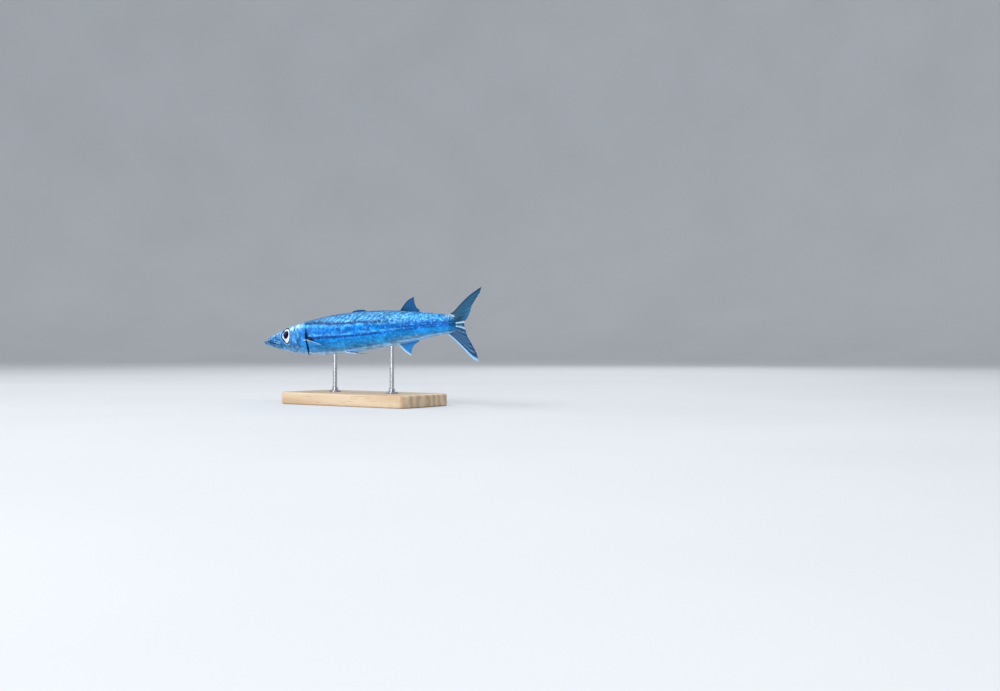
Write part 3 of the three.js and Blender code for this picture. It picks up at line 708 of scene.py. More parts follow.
def tail_dashes(r, skin):
    """Rows of light dashes along the tail, painted highlights of its scale rows, over its deep blue band."""
    band = r.times(r.fit(r.share, 0.62, 0.80), *r.window(r.height, (0.34, 0.42), (0.60, 0.68)), 0.88)
    skin = r.mix(band, skin, (0, 88, 176))
    rows = r.math("SINE", r.times(r.level, 2 * math.pi / DASH_SPACING))
    dashes = r.times(
        r.fit(rows, 0.3, 0.9), r.fit(r.noise(420, 2, r.stretched((0.4, 1, 1))), 0.46, 0.58),
        r.fit(r.share, 0.60, 0.72), *r.window(r.height, (0.36, 0.44), (0.72, 0.80)), 0.55,
    )
    return r.mix(dashes, skin, (84, 178, 248))


def tail_belly(r, skin):
    """Whitish, faintly yellow speckles low on the tail, over a bright edge below of painted reflected light.
    """
    speck = r.times(
        *r.window(r.share, (0.66, 0.75), (0.82, 0.88)), *r.window(r.height, (0.05, 0.09), (0.14, 0.22)),
        r.fit(r.noise(480, 2), 0.42, 0.56), 0.6,
    )
    skin = r.mix(speck, skin, (138, 172, 184))
    # Painted reflection of light from below, along the lower edge of the body
    edge = r.times(r.fall(r.height, 0.05, 0.08), r.fit(r.share, 0.40, 0.50), 0.85)
    return r.mix(edge, skin, (146, 204, 255))


def head_paint(r, skin):
    """Bright crown with painted highlights, blue cheek, grey snout, pale jaw edge, the head's marks over
    them.
    """
    head = r.ramp(r.height, HEAD_PAINT)
    snout = r.times(r.fall(r.share, 0.06, 0.11), r.fit(r.broad, 0.34, 0.52), 0.7)
    head = r.mix(snout, head, (24, 78, 124))
    crown = r.noise(270, 3)
    high = r.times(r.fit(r.height, 0.66, 0.80), r.fit(r.share, 0.08, 0.12))
    # Painted highlights as white blotches over the crown, then dark blotches between them
    head = r.mix(r.times(r.fit(crown, 0.51, 0.58), high, 0.9), head, (196, 236, 255))
    head = r.mix(r.times(r.fall(crown, 0.38, 0.47), high, 0.9), head, (6, 76, 142))
    streaks = r.noise(250, 4, r.stretched((1.6, 1, 0.5)))
    head = r.mix(r.times(r.fit(streaks, 0.54, 0.62), 0.65), head, (84, 178, 236))
    head = r.mix(r.times(r.fall(streaks, 0.38, 0.46), 0.75), head, (0, 66, 118))
    # Painted sheen: the brightest flakes of the head mixed toward pale blue
    head = r.mix(r.times(r.fit(r.shine, 0.66, 0.98), 0.3), head, (160, 214, 255))
    for place, reach, colour, strength in HEAD_MARKS:
        along = r.times(r.less(r.share, place[0]), 1 / reach[0])
        up = r.times(r.less(r.level, place[1]), 1 / reach[1])
        off = r.math("SQRT", r.plus(r.times(along, along), r.times(up, up)))
        off = r.plus(off, r.times(r.less(crown, 0.5), MARK_RAGGED))
        head = r.mix(r.times(r.fall(off, 0.3, 1.2), strength), head, colour)
    front = r.fall(r.plus(r.share, r.times(r.ragged, 0.02)), 0.225, 0.262)
    return r.mix(front, skin, head)


def gill_flap(r, skin):
    """Pale lower flap of the gill cover, which leads on to the pectoral fin."""
    flap = r.times(r.fall(r.off(r.level, FLAP_LEVEL), 0.010, 0.028), r.fit(r.share, 0.244, 0.252), 0.85)
    flap = r.times(flap, r.fall(r.share, 0.2665, 0.2685))
    return r.mix(flap, skin, (176, 206, 250))


def orbit_paint(r, skin):
    """White corners of the orbit, greyed in front by painted shade, a thin dark rim and a pale fold round it.
    """
    orbit = r.note("orbit")
    # Painted shade greys the corner in front of the eye
    corner = r.mix(r.fall(r.share, 0.104, 0.114), (240, 247, 255), (98, 128, 188))
    skin = r.mix(r.fall(orbit, -0.07, -0.02), skin, corner)
    skin = r.mix(r.times(*r.window(orbit, (-0.10, -0.06), (0.08, 0.12)), 0.98), skin, (0, 16, 56))
    return r.mix(r.times(*r.window(orbit, (0.09, 0.12), (0.18, 0.28)), 0.7), skin, (110, 184, 242))


def pectoral_crescent(r, skin):
    """Black crescent over the pectoral fin, in a dark cloud, with a stem up along the gill."""
    behind = r.times(r.less(r.share, CRESCENT_START), 1 / CRESCENT_LENGTH)
    drop = r.less(r.level, CRESCENT_LEVEL)
    drop = r.plus(drop, r.times(r.math("POWER", behind, CRESCENT_CURVE), CRESCENT_DROP))
    thinning = r.plus(1.0, r.times(r.math("POWER", behind, 2.0), CRESCENT_THINNING))
    drop = r.times(r.math("ABSOLUTE", drop), thinning)
    start = r.fit(behind, -0.02, 0.06)
    crescent = r.times(r.fall(drop, 0.050, 0.078), r.fall(behind, 0.80, 1.15), start)
    stem = r.times(r.fall(behind, 0.12, 0.30), start, *r.window(r.level, (0.42, 0.46), (0.54, 0.62)), 0.8)
    cloud = r.times(
        r.fall(behind, 0.15, 0.55), r.fit(behind, -0.3, 0.0),
        *r.window(r.height, (0.44, 0.50), (0.68, 0.80)), 0.7,
    )
    skin = r.mix(cloud, skin, (6, 66, 124))
    return r.mix(r.times(r.math("MAXIMUM", crescent, stem), 0.96), skin, (4, 14, 44))


def tail_dusk(r, skin):
    """The end of the tail's flesh: a bright bar above, then dusk that runs out over the fin."""
    end = r.plus(r.share, r.times(r.less(r.noise(360, 3), 0.5), 0.08))
    bar = r.times(
        r.fit(r.share, 0.955, 0.968), r.fit(r.height, 0.80, 0.86), r.fit(r.noise(520, 2), 0.36, 0.5), 0.85,
    )
    skin = r.mix(bar, skin, (204, 236, 255))
    dusk = r.times(
        r.fit(end, 0.966, 0.997), r.fall(r.height, 0.84, 0.92, 0.3), r.fit(r.height, 0.25, 0.60, 0.74, 0.9),
    )
    return r.mix(dusk, skin, (16, 74, 114))


def glitter(r, skin):
    """Painted glints per scale, painted highlights on the back, broad cloudiness, painted shade in hollows.
    """
    # Painted glints: each scale made brighter or darker, the brightest mixed toward pale blue
    bright = {"Value": r.glint, "From Min": 0.05, "From Max": 0.85, "To Min": 0.60, "To Max": 1.36}
    lit = r.add("MapRange", bright).outputs[0]
    calm = r.fit(r.height, 0.30, 0.62, 0.5, 1.0)
    skin = r.brighter(skin, r.plus(1.0, r.times(r.less(lit, 1.0), calm)))
    glare = r.times(r.fit(r.glint, 0.60, 0.95), r.fit(r.height, 0.3, 0.6, 0.16, 0.34))
    skin = r.mix(glare, skin, (120, 200, 255))
    # Painted highlights, speckled over the back
    back_highlight = r.times(r.fit(r.noise(760, 3), 0.54, 0.70), r.fit(r.height, 0.60, 0.80, 0.1, 0.6))
    skin = r.mix(back_highlight, skin, (150, 214, 255))
    skin = r.brighter(skin, r.fit(r.broad, 0.3, 0.7, 0.84, 1.14))
    skin = r.brighter(skin, r.fit(r.noise(300, 3, r.stretched((0.4, 1, 1))), 0.34, 0.66, 0.78, 1.22))
    # Painted shade in the skin's grooves, nostrils, mouth and gill slit, and on each scale's underside
    return r.mix(r.fit(r.note("painted_shade"), 0.05, 0.85), skin, (4, 24, 60))


def fin_paint(r, colour, marks, streaks):
    """Patches and streaks shared by a fin's web and rays. A mark has its reach across and along the fin."""
    place = r.place()
    wobble = r.times(r.less(r.noise(300, 3), 0.5), 0.12)
    across = r.plus(place[0], wobble)
    along = r.plus(place[1], r.times(wobble, 1.4))
    if streaks:
        count, paint, strength = streaks
        wave = r.math("SINE", r.times(across, 2 * math.pi * count))
        band = r.times(r.fit(wave, 0.0, 0.7), *r.window(along, (0.10, 0.28), (0.84, 1.0)), strength)
        colour = r.mix(band, colour, paint)
    for (left, right), (low, high), paint, strength in marks:
        width = r.window(across, (left - 0.02, left + 0.02), (right - 0.02, right + 0.02))
        reach = r.window(along, (low - 0.07, low + 0.07), (high - 0.07, high + 0.07))
        colour = r.mix(r.times(*width, *reach, strength), colour, paint)
    return colour


def darker(colour, factor):
    return tuple(factor * c for c in colour)


def fin_membrane(name, root, web, edge, alpha, marks=(), streaks=None):
    """Thin dusky web between the rays, darker near its root."""
    r = Recipe(name)
    across, along = r.place()[:2]
    ragged = r.noise(300, 3)
    reach = r.plus(along, r.times(r.less(ragged, 0.5), 0.3))
    colour = r.ramp(reach, [(0.0, root), (0.35, web), (1.0, web)])
    colour = fin_paint(r, colour, marks, streaks)
    colour = r.mix(r.fall(across, 0.02, 0.10), colour, edge)
    dusk = r.noise(1400, 2)
    colour = r.mix(r.times(r.fit(dusk, 0.52, 0.7), 0.4), colour, darker(web, 0.55))
    r.set(
        Base_Color=colour, Roughness=r.fit(dusk, 0.3, 0.7, 0.32, 0.5), Normal=r.relief(ragged, 0.0001, 0.4),
        Alpha=alpha, Specular_IOR_Level=0.12, Coat_Weight=0.06, Coat_Roughness=0.15,
    )
    return r.material


def fin_ray(name, root, tip, edge, marks=(), streaks=None):
    """Jointed rays: banded by their joints, with their own colour on the leading edge."""
    r = Recipe(name)
    across, along = r.place()[:2]
    colour = r.ramp(along, [(0.0, root), (0.45, tip), (1.0, tip)])
    colour = fin_paint(r, colour, marks, streaks)
    colour = r.mix(r.fall(across, 0.02, 0.07), colour, edge)
    joints = r.wave(r.note("place", "Vector"), "Y", Scale=9.0, Distortion=0.6)
    colour = r.mix(r.times(joints, 0.22), colour, darker(tip, 0.5))
    fine = r.noise(1600, 2)
    r.set(
        Base_Color=colour, Roughness=r.fit(fine, 0.3, 0.7, 0.3, 0.45), Normal=r.relief(fine, 0.00005, 0.3),
        Specular_IOR_Level=0.15, Coat_Weight=0.06,
    )
    return r.material


def eye_look():
    """Navy pupil drawn to a point behind, in a white iris with fine spokes, with painted shade in front."""
    r = Recipe("eye_glass")
    rear, up, radius = r.place()
    ragged = r.noise(900, 3)
    slant = r.less(r.times(up, 0.75), r.times(rear, 0.66))
    cut = r.times(r.fit(slant, 0.20, 0.72), 0.17)
    reach = r.plus(r.plus(radius, cut), r.times(r.less(ragged, 0.5), 0.03))
    iris = r.ramp(reach, [
        (0.00, (1, 1, 36)), (0.66, (1, 1, 42)), (0.69, (22, 34, 88)), (0.72, (222, 234, 250)),
        (0.78, (244, 249, 255)), (0.96, (232, 242, 253)), (1.00, (150, 184, 222)),
    ])
    flat = r.add("CombineXYZ", {0: rear, 1: up}).outputs[0]
    spokes = r.wave(flat, "DIAGONAL", Scale=9.0, Distortion=6.0, Detail=3.0, Detail_Scale=2.0)
    on_iris = r.fit(reach, 0.71, 0.76)
    iris = r.mix(r.times(r.fit(spokes, 0.55, 0.95), on_iris, 0.35), iris, (150, 180, 222))
    # Painted shade over the front of the iris
    front = r.times(r.fall(rear, -0.58, -0.22), r.fit(up, -0.45, -0.1), on_iris)
    iris = r.mix(r.times(front, 0.88), iris, (78, 106, 168))
    r.set(
        Base_Color=iris, Roughness=r.fit(ragged, 0.3, 0.7, 0.14, 0.24),
        Specular_IOR_Level=0.04, Coat_Weight=0.16, Coat_IOR=1.34, Coat_Roughness=0.02,
    )
    return r.material


def oiled_wood():
    """Pale wood with long grain, growth lines and fine pores."""
    r = Recipe("oiled_wood")
    grain = r.noise(38, 5, r.stretched((0.12, 1.0, 1.0)), 0.6)
    rings = r.wave(
        r.stretched((0.10, 1.0, 1.0)), "Y", Scale=26.0, Distortion=7.0, Detail=3.0, Detail_Scale=1.2,
    )
    pores = r.noise(900, 2, r.stretched((0.06, 1.0, 1.0)))
    colour = r.ramp(r.plus(r.times(rings, 0.55), r.times(grain, 0.45)), [
        (0.15, (186, 154, 118)), (0.5, (206, 178, 144)), (0.85, (220, 198, 168)),
    ])
    colour = r.mix(r.times(r.fit(pores, 0.58, 0.70), 0.45), colour, (150, 116, 82))
    r.set(
        Base_Color=colour, Roughness=r.fit(pores, 0.3, 0.7, 0.30, 0.48), Normal=r.relief(pores, 0.00012, 0.5),
        Coat_Weight=0.25, Coat_Roughness=0.2,
    )
    return r.material


def brushed_steel():
    """Steel brushed round the rods, with faint smudges."""
    r = Recipe("brushed_steel")
    lines = r.noise(2400, 2, r.stretched((1.0, 1.0, 0.03)))
    smudge = r.noise(160, 3)
    colour = r.ramp(smudge, [(0.3, (176, 178, 182)), (0.7, (200, 202, 206))])
    r.set(
        Base_Color=colour, Roughness=r.fit(r.plus(lines, smudge), 0.7, 1.3, 0.18, 0.34),
        Normal=r.relief(lines, 0.00003, 0.4), Metallic=1.0,
    )
    return r.material


def pale_floor():
    r = Recipe("pale_floor")
    r.set(Base_Color=r.ramp(r.noise(2.5, 3), [(0.3, (206, 209, 213)), (0.7, (211, 214, 218))]), Roughness=0.9)
    return r.material


# The skin: one sheet round the whole fish

def eye_offsets(x, z):
    return x - EYE_PLACE * LENGTH, z - EYE_HEIGHT


def orbit_edge():
    """The orbit's edge as a smooth closed line: its turns and its reaches."""
    turn, reach = np.radians([d for d, _ in RIM_LINE]), np.array([r for _, r in RIM_LINE]) * MM
    corners = np.stack([reach * np.cos(turn), reach * np.sin(turn), 0 * turn], -1)
    path = smooth_path(np.vstack([corners[-2:], corners, corners[:2]]))
    x, z, _ = path(np.linspace(0, 1, ORBIT_STEPS)).T
    return np.arctan2(z, x), np.hypot(x, z)


RIM_TURNS, RIM_REACHES = orbit_edge()


def rim_reach(turn):
    """Distance from the eye's middle to the orbit's edge."""
    return np.interp(turn, RIM_TURNS, RIM_REACHES, period=2 * math.pi)


def eye_plane(x, z):
    """Distance from the middle of the head out to the plane that the eye is seated on."""
    dx, dz = eye_offsets(x, z)
    return EYE_SEAT + math.tan(EYE_FORWARD) * dx - math.tan(EYE_UPWARD) / math.cos(EYE_FORWARD) * dz


def snap(x, z, excess, target):
    """Moves the places next to an outline round the eye onto it, given each place's distance beyond it."""
    near = np.zeros(excess.shape, bool)
    for axis in (0, 1):
        a = [slice(None)] * 2
        b = [slice(None)] * 2
        a[axis], b[axis] = slice(None, -1), slice(1, None)
        first, second = excess[tuple(a)], excess[tuple(b)]
        crossing = np.sign(first) != np.sign(second)
        near[tuple(a)] |= crossing & (abs(first) <= abs(second))
        near[tuple(b)] |= crossing & (abs(first) > abs(second))
    dx, dz = eye_offsets(x, z)
    scale = np.where(near, target / np.maximum(np.hypot(dx, dz), MM), 1)
    return EYE_PLACE * LENGTH + dx * scale, EYE_HEIGHT + dz * scale


def flare(x, z):
    """How far the head stands out from the trunk's line, growing toward the gills."""
    return HEAD_FLARE * smooth(x / LENGTH, *FLARE_ALONG) * smooth(z / LENGTH, *FLARE_TOP)


# Lines of the head's bones, as shares of length and heights as shares of length
PREOPERCLE = [
    (0.186, 0.034), (0.200, 0.022), (0.208, 0.004), (0.212, -0.018), (0.206, -0.040), (0.184, -0.054),
    (0.150, -0.057),
]
CHEEK_RIDGE = [(0.172, 0.024), (0.178, 0.006), (0.176, -0.018), (0.164, -0.036), (0.138, -0.044)]
MAXILLA_TOP = [
    (0.018, -0.002), (0.045, -0.0075), (0.072, -0.0135), (0.092, -0.0190), (0.101, -0.0270), (0.098, -0.0350),
]
MAXILLA_REAR = [(0.101, -0.0270), (0.099, -0.0350), (0.090, -0.0345), (0.076, -0.0290)]
LACRIMAL = [
    (0.050, 0.006), (0.072, -0.002), (0.095, -0.014), (0.110, -0.026), (0.136, -0.034), (0.158, -0.028),
]
JAW_LINE = [(0.010, -0.0205), (0.050, -0.0330), (0.095, -0.0450), (0.140, -0.0535), (0.180, -0.0580)]
OPERCLE_RIDGE = [(0.216, 0.026), (0.236, 0.020), (0.252, 0.006)]
OPERCLE_SEAM = [(0.214, -0.030), (0.232, -0.036), (0.250, -0.044), (0.262, -0.052)]

# Grooves along these lines: width, depth and raised bank in millimetres, and shade. A ridge is a groove
# with its depth below zero.
GROOVES = [
    (PREOPERCLE, 0.60, 0.42, 0.12, 0.60),
    (CHEEK_RIDGE, 0.60, -0.16, -0.06, 0.0),
    (MAXILLA_TOP, 0.45, 0.34, 0.12, 0.60),
    (MAXILLA_REAR, 0.45, 0.30, 0.10, 0.60),
    (LACRIMAL, 0.50, 0.24, 0.12, 0.55),
    (JAW_LINE, 0.50, 0.22, 0.08, 0.12),
    (OPERCLE_RIDGE, 0.70, -0.20, -0.06, 0.0),
    (OPERCLE_SEAM, 0.45, 0.20, 0.06, 0.20),
]

# Nostrils: share of length, height and radius
NOSTRILS = [(0.087, 5.4 * MM, 0.8 * MM), (0.078, 4.6 * MM, 0.6 * MM)]
NOSTRIL_DEPTH = 0.9 * MM
NOSTRIL_RIM = 0.18 * MM
CROWN_RIDGE = 0.24 * MM
CROWN_SPACING = 3.0 * MM
CROWN_SLOPE = 0.165
CROWN_TOP = 14 * MM
THROAT_FOLD = 0.16 * MM
THROAT_SPACING = 2.1 * MM
PECTORAL_ROOT = (0.270, -5.8 * MM)
ROOT_SWELLING = 0.7 * MM
ROOT_REACH = 3.0 * MM
ROOT_STRETCH = 1.5


def carving(x, z, across):
    """Relief of the head's bones and folds, and the shade in its grooves. Across is off the middle."""
    share = x / LENGTH
    shade = np.zeros(x.shape)
    height = np.zeros(x.shape)
    for points, wide, depth, bank, darkness in GROOVES:
        off = distance_to(points, x, z)
        width = wide * MM
        groove = depth * MM * bump(off, width)
        height = height - groove + bank * MM * bump(off - 2.2 * width, 1.6 * width)
        shade = np.maximum(shade, darkness * bump(off, 1.1 * width))

    # Bony ridges along the crown, and the folds of the throat
    crown = smooth(z, CROWN_SLOPE * x, CROWN_TOP) * smooth(share, 0.03, 0.06) * smooth(share, 0.20, 0.15)
    height = height + CROWN_RIDGE * crown * np.cos(2 * math.pi * across / CROWN_SPACING)
    throat = smooth(-z / LENGTH, 0.042, 0.058) * smooth(share, 0.13, 0.16) * smooth(share, 0.255, 0.22)
    height = height + THROAT_FOLD * throat * np.cos(2 * math.pi * across / THROAT_SPACING)

    for place, level, radius in NOSTRILS:
        off = np.hypot(x - place * LENGTH, z - level)
        height = height - NOSTRIL_DEPTH * bump(off, 0.75 * radius)
        height = height + NOSTRIL_RIM * bump(off - 1.35 * radius, 0.4 * radius)
        shade = np.maximum(shade, bump(off, 0.9 * radius))
    return height, shade


def lip_arcs(share, shifted):
    """Arc of the mouth's line, which eases to one plain row behind the corner."""
    run = np.minimum(share, MOUTH_CORNER)
    place = run + (jaw_shift(run) / LENGTH if shifted else 0)
    return arc_at_height(run, mouth_height(place))


LIP_SHARES = np.linspace(0, 0.30, 121)
LIP_UPPER = lip_arcs(LIP_SHARES, False)
LIP_LOWER = lip_arcs(LIP_SHARES, True)
MOUTH_ROW = int(round(HALF_ROUND * LIP_UPPER[-1]))


def skin_rows(share, row):
    """Arc of each row of the half ring. One row follows the upper lip, and the row below it the lower lip."""
    upper = np.interp(share, LIP_SHARES, LIP_UPPER)
    lower = np.interp(share, LIP_SHARES, LIP_LOWER)
    below = lower * row / (MOUTH_ROW - 1)
    above = upper + (1 - upper) * (row - MOUTH_ROW) / (HALF_ROUND - MOUTH_ROW)
    return np.where(row < MOUTH_ROW, below, above)


def skin_grid():
    """Share and row of every place of the sheet, rows round the fish and columns along it."""
    rows = np.concatenate([np.arange(HALF_ROUND + 1), np.arange(HALF_ROUND)[::-1]])
    side = np.where(np.arange(2 * HALF_ROUND + 1) <= HALF_ROUND, 1.0, -1.0)
    gill = np.full(rows.shape, GILL_GUESS)
    for _ in range(GILL_PASSES):
        _, z = half_ring(gill, skin_rows(gill, rows))
        gill = gill_share(z)
    ahead = (np.arange(HEAD_COLUMNS) / HEAD_COLUMNS) ** HEAD_EASE
    behind = np.array([along * MM for along, _ in FLAP])
    run = (np.arange(TRUNK_COLUMNS) + 1) / TRUNK_COLUMNS
    rest = gill + (behind[-1] + FLAP_REST) / LENGTH
    share = np.hstack([
        np.zeros((len(rows), NOSE_COLUMNS)),
        gill[:, None] * ahead,
        gill[:, None] + behind / LENGTH,
        rest[:, None] + (TAIL_END - rest)[:, None] * (1 - (1 - run) ** TRUNK_EASE),
        np.full((len(rows), SLEEVE_COLUMNS), TAIL_END),
    ])
    return share, rows[:, None], side[:, None], gill[:, None]


def draw_orbit(x, y, z):
    """Draws the grid's lines clean along the orbit's outline and the eye's own edge."""
    near_eye = np.hypot(*eye_offsets(x, z)) < ORBIT_REACH
    for edge in (rim_reach, lambda turn: np.full(turn.shape, SOCKET_EDGE)):
        dx, dz = eye_offsets(x, z)
        target = edge(np.arctan2(dz, dx))
        x_new, z_new = snap(x, z, np.hypot(dx, dz) - target, target)
        x, z = np.where(near_eye, x_new, x), np.where(near_eye, z_new, z)
    return x, np.where(near_eye, surface_width(x, z), y), z, near_eye


def lips(share, arc, lower):
    """Relief of the two lips, which fade at the jaws' tips, and the shade between them."""
    mouth = 1 - smooth(share, MOUTH_CORNER - 0.007, MOUTH_CORNER + 0.004)
    seam = np.where(lower, np.interp(share, LIP_SHARES, LIP_LOWER), np.interp(share, LIP_SHARES, LIP_UPPER))
    off = abs(arc - seam) * half_length(share)
    relief = LIP_RISE * bump(off - LIP_PLACE, LIP_WIDTH) - GAPE_DEPTH * bump(off, GAPE_WIDTH)
    gape = 0.3 + 0.7 * smooth(share, 0.004, 0.040)
    return relief * mouth * (0.12 + 0.88 * smooth(share, 0.0, 0.026)), gape * mouth * bump(off, GAPE_SHADE)


def fold_gill_flap(height, shade, x, z, share, ahead, head):
    """The head's edge, tucked under and down to the trunk, closed at the nape."""
    open_gill = smooth(z / LENGTH, 0.042, 0.006) * (1 - 0.8 * smooth(-z / LENGTH, 0.056, 0.068))
    first = NOSE_COLUMNS + HEAD_COLUMNS
    for k, (_, depth) in enumerate(FLAP):
        column = first + k
        lifted = depth * MM + (head[:, first] if k == 0 else 0)
        height[:, column] = open_gill[:, column] * lifted
        # Painted shade in the gill slit, darker in its deeper columns and fading out higher up
        slit = smooth(z[:, column] / LENGTH, 0.022, 0.004)
        shade[:, column] = slit * (0.0 if k == 0 else min(1.0, max(0.0, 0.2 - depth)))
    lead = share[:, first:first + 1] * LENGTH - x
    height += np.where(ahead, open_gill * FLAP_ROLL * bump(lead, FLAP_ROLL_WIDTH), 0.0)


def sink_orbit(points, side, x, z, reach, rim, near_eye):
    """Inside the orbit the skin dips to the eye and passes behind it."""
    seat = eye_plane(x, z)
    surface = abs(points[..., 1])
    ledge = seat + LEDGE
    dip = ledge + (surface - ledge) * smooth(reach, SOCKET_EDGE, rim) ** DIP_POWER
    well = np.where(reach < SOCKET_EDGE - 0.02 * MM, seat - WELL_DEPTH, dip)
    inside = near_eye & (reach < rim)
    points[..., 1] = np.where(inside, side * well, points[..., 1])


def round_nose(points, lower):
    """Rounded ends of the two jaws."""
    for k in range(NOSE_COLUMNS):
        turn_in = math.pi / 2 * k / NOSE_COLUMNS
        size = math.sin(turn_in)
        for part, middle in ((lower, mouth_height(-JAW_REACH / LENGTH)), (~lower, mouth_height(0.0))):
            mask = part[:, k]
            ring = points[mask, NOSE_COLUMNS]
            points[mask, k] = np.stack([
                ring[:, 0] - NOSE_REACH * math.cos(turn_in),
                ring[:, 1] * size,
                middle + (ring[:, 2] - middle) * size,
            ], -1)


def close_tail(points):
    """The tail's flesh thins out over the fin's rays and closes on them."""
    end = points[:, -1 - SLEEVE_COLUMNS].copy()
    middle = (end[:, 2].max() + end[:, 2].min()) / 2
    high = (end[:, 2] - middle) / (end[:, 2].max() - middle)
    for k in range(1, SLEEVE_COLUMNS + 1):
        t = k / SLEEVE_COLUMNS
        thin = 1 - (1 - SLEEVE_EDGE) * smooth(t, 0.0, 0.9)
        column = k - SLEEVE_COLUMNS - 1
        points[:, column, 0] = end[:, 0] + SLEEVE_REACH * t * (1 - SLEEVE_CURVE * abs(high) ** 2)
        points[:, column, 1] = end[:, 1] * thin * (0.0 if k == SLEEVE_COLUMNS else 1.0)
        points[:, column, 2] = end[:, 2] + SLEEVE_SPREAD * t * high


def grid_normals(points):
    normal = np.cross(np.gradient(points, axis=0), np.gradient(points, axis=1))
    return normal / np.maximum(np.linalg.norm(normal, axis=-1, keepdims=True), 1e-12)


def build_skin(material):
    share, rows, side, gill = skin_grid()
    arc = skin_rows(share, rows)
    lower = (rows < MOUTH_ROW) & np.ones(share.shape, bool)
    x, y, z, near_eye = draw_orbit(share * LENGTH, *half_ring(share, arc))
    dx, dz = eye_offsets(x, z)
    reach = np.hypot(dx, dz)
    rim = rim_reach(np.arctan2(dz, dx))
    points = np.stack([x, side * y, z], -1)
    normals = grid_normals(points)

    # Height of the surface over the bare body, and the shade in its hollows
    ahead = share < gill - 1e-6
    head = np.where(share <= gill + 1e-6, flare(x, z), 0.0)
    bones, shade = carving(x, z, y)
    fade = smooth(reach - rim, 0.0, RIM_FADE)
    height = head + np.where(ahead, bones * fade, 0.0)
    shade = np.where(ahead, shade * fade, 0.0)
    relief, gape = lips(share, arc, lower)
    height = height + relief
    shade = np.maximum(shade, gape)
    height = height + np.where(near_eye, RIM_RISE * bump(reach - rim - RIM_PLACE, RIM_WIDTH), 0.0)
    fold_gill_flap(height, shade, x, z, share, ahead, head)

    # The coat's depth behind the head, and the swelling at the root of the pectoral fins
    height = height - COAT_DEPTH * smooth(share - gill, 0.006, 0.02)
    off = np.hypot((x - PECTORAL_ROOT[0] * LENGTH) / ROOT_STRETCH, z - PECTORAL_ROOT[1])
    height = height + np.where(share > gill + 0.004, ROOT_SWELLING * bump(off, ROOT_REACH), 0.0)

    points = points + height[..., None] * normals
    sink_orbit(points, side, x, z, reach, rim, near_eye)
    points[..., 0] += np.where(lower, jaw_shift(share), 0.0)
    round_nose(points, lower)
    close_tail(points)

    notes = {
        "place": np.stack([share, np.clip(level_at(share, z), 0, 1), np.zeros(share.shape)], -1),
        "painted_shade": shade,
        "orbit": np.where(near_eye & (z > ORBIT_FLOOR), (reach - rim) / ORBIT_UNIT, 1.0),
        "glint": np.full(share.shape, 0.5),
    }
    skin = laid_grid(settle(points), notes)
    finish_piece(skin, "skin", material)
    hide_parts("head", "lower_jaw", "gill_cover_left", "gill_cover_right", "trunk", "tail_stalk")


# Scales: thin overlapping plates, each bedded at its front and free at its rear edge

# One scale, its lengths in parts of its half size
SCALE_RING = 10
SCALE_TAPER = 0.12
SCALE_CREST = 0.12
CREST_REACH = 0.55
SCALE_RISES = (0.85, 0.0, -0.45)
SCALE_TILT = 0.075
SCALE_DOME = 0.085
KEEL_REACH = 0.5
SIZE_SPREAD = 0.05
LEAN_SPREAD = 0.035
BAKE_PATCH = 0.0014

# The coat: rows round the body, where it starts and ends, and each scale's step and half size in spacings
SCALE_ROWS = 44
COAT_START = 0.16
COAT_END = 0.986
COAT_SINK = 0.06 * MM
SCALE_STEP = 1.68
SCALE_WIDTH = 0.61
SCALE_LENGTH = 0.81
SHARE_SCATTER = 0.0004
TURN_SCATTER = 0.0012
FLAP_CLEARANCE = 0.0135
LATERAL_LINE = PALE_LINE[1:]
LATERAL_REACH = 0.52
LATERAL_KEEL = 0.20 * MM

# The nape: where its smaller scales grow to full size, and the coat's front by turns up the side
NAPE = (0.17, 0.30)
NAPE_START = 0.74
NAPE_FRONT = [(0.72, 0.238), (0.80, 0.205), (0.90, 0.180), (1.0, 0.170)]

# The cheeks: shares and heights that their scales cover, and how far they keep from edges
CHEEK_SHARES = (0.150, 0.262)
CHEEK_HEIGHTS = (-15 * MM, 11 * MM)
CHEEK_LEVELS = (0.16, 0.80)
CHEEK_STEP = 1.45 * MM
CHEEK_SINK = 0.05 * MM
CHEEK_SCATTER = 0.0005
ORBIT_CLEARANCE = 2.0 * MM
RIDGE_CLEARANCE = 1.1 * MM
SEAM_CLEARANCE = 0.8 * MM
GILL_CLEARANCE = 0.006


def scale_plate():
    """One scale: places along and across it from -1 to 1, height of each, and the faces."""
    turn = 2 * math.pi * np.arange(SCALE_RING) / SCALE_RING
    outer = np.stack([np.cos(turn), np.sin(turn) * (1 - SCALE_TAPER * np.cos(turn))], -1)
    crest = [[SCALE_CREST, 0]]
    inner = CREST_REACH * outer + np.array(crest)
    flat = np.vstack([crest, inner, outer, outer * 0.98, [[0.0, 0.0]]])
    rings = [np.full(SCALE_RING, rise) for rise in SCALE_RISES]
    rise = np.concatenate([[1.0], *rings, [-0.5]])
    faces = []
    i, o, u = 1, 1 + SCALE_RING, 1 + 2 * SCALE_RING
    for k in range(SCALE_RING):
        n = (k + 1) % SCALE_RING
        faces += [(0, i + k, i + n), (i + k, o + k, o + n), (i + k, o + n, i + n)]
        faces += [(o + k, u + k, u + n), (o + k, u + n, o + n), (u + k, 3 * SCALE_RING + 1, u + n)]
    return flat, rise, np.array(faces)


def surface_normals(share, around):
    """Outward directions of the bare body."""
    step = 1e-4
    along = body_point(np.minimum(share + step, TAIL_END + step), around) - body_point(share - step, around)
    up = body_point(share, around + 40 * step) - body_point(share, around - 40 * step)
    normal = np.cross(up, along)
    return normal / np.maximum(np.linalg.norm(normal, axis=-1, keepdims=True), 1e-12)


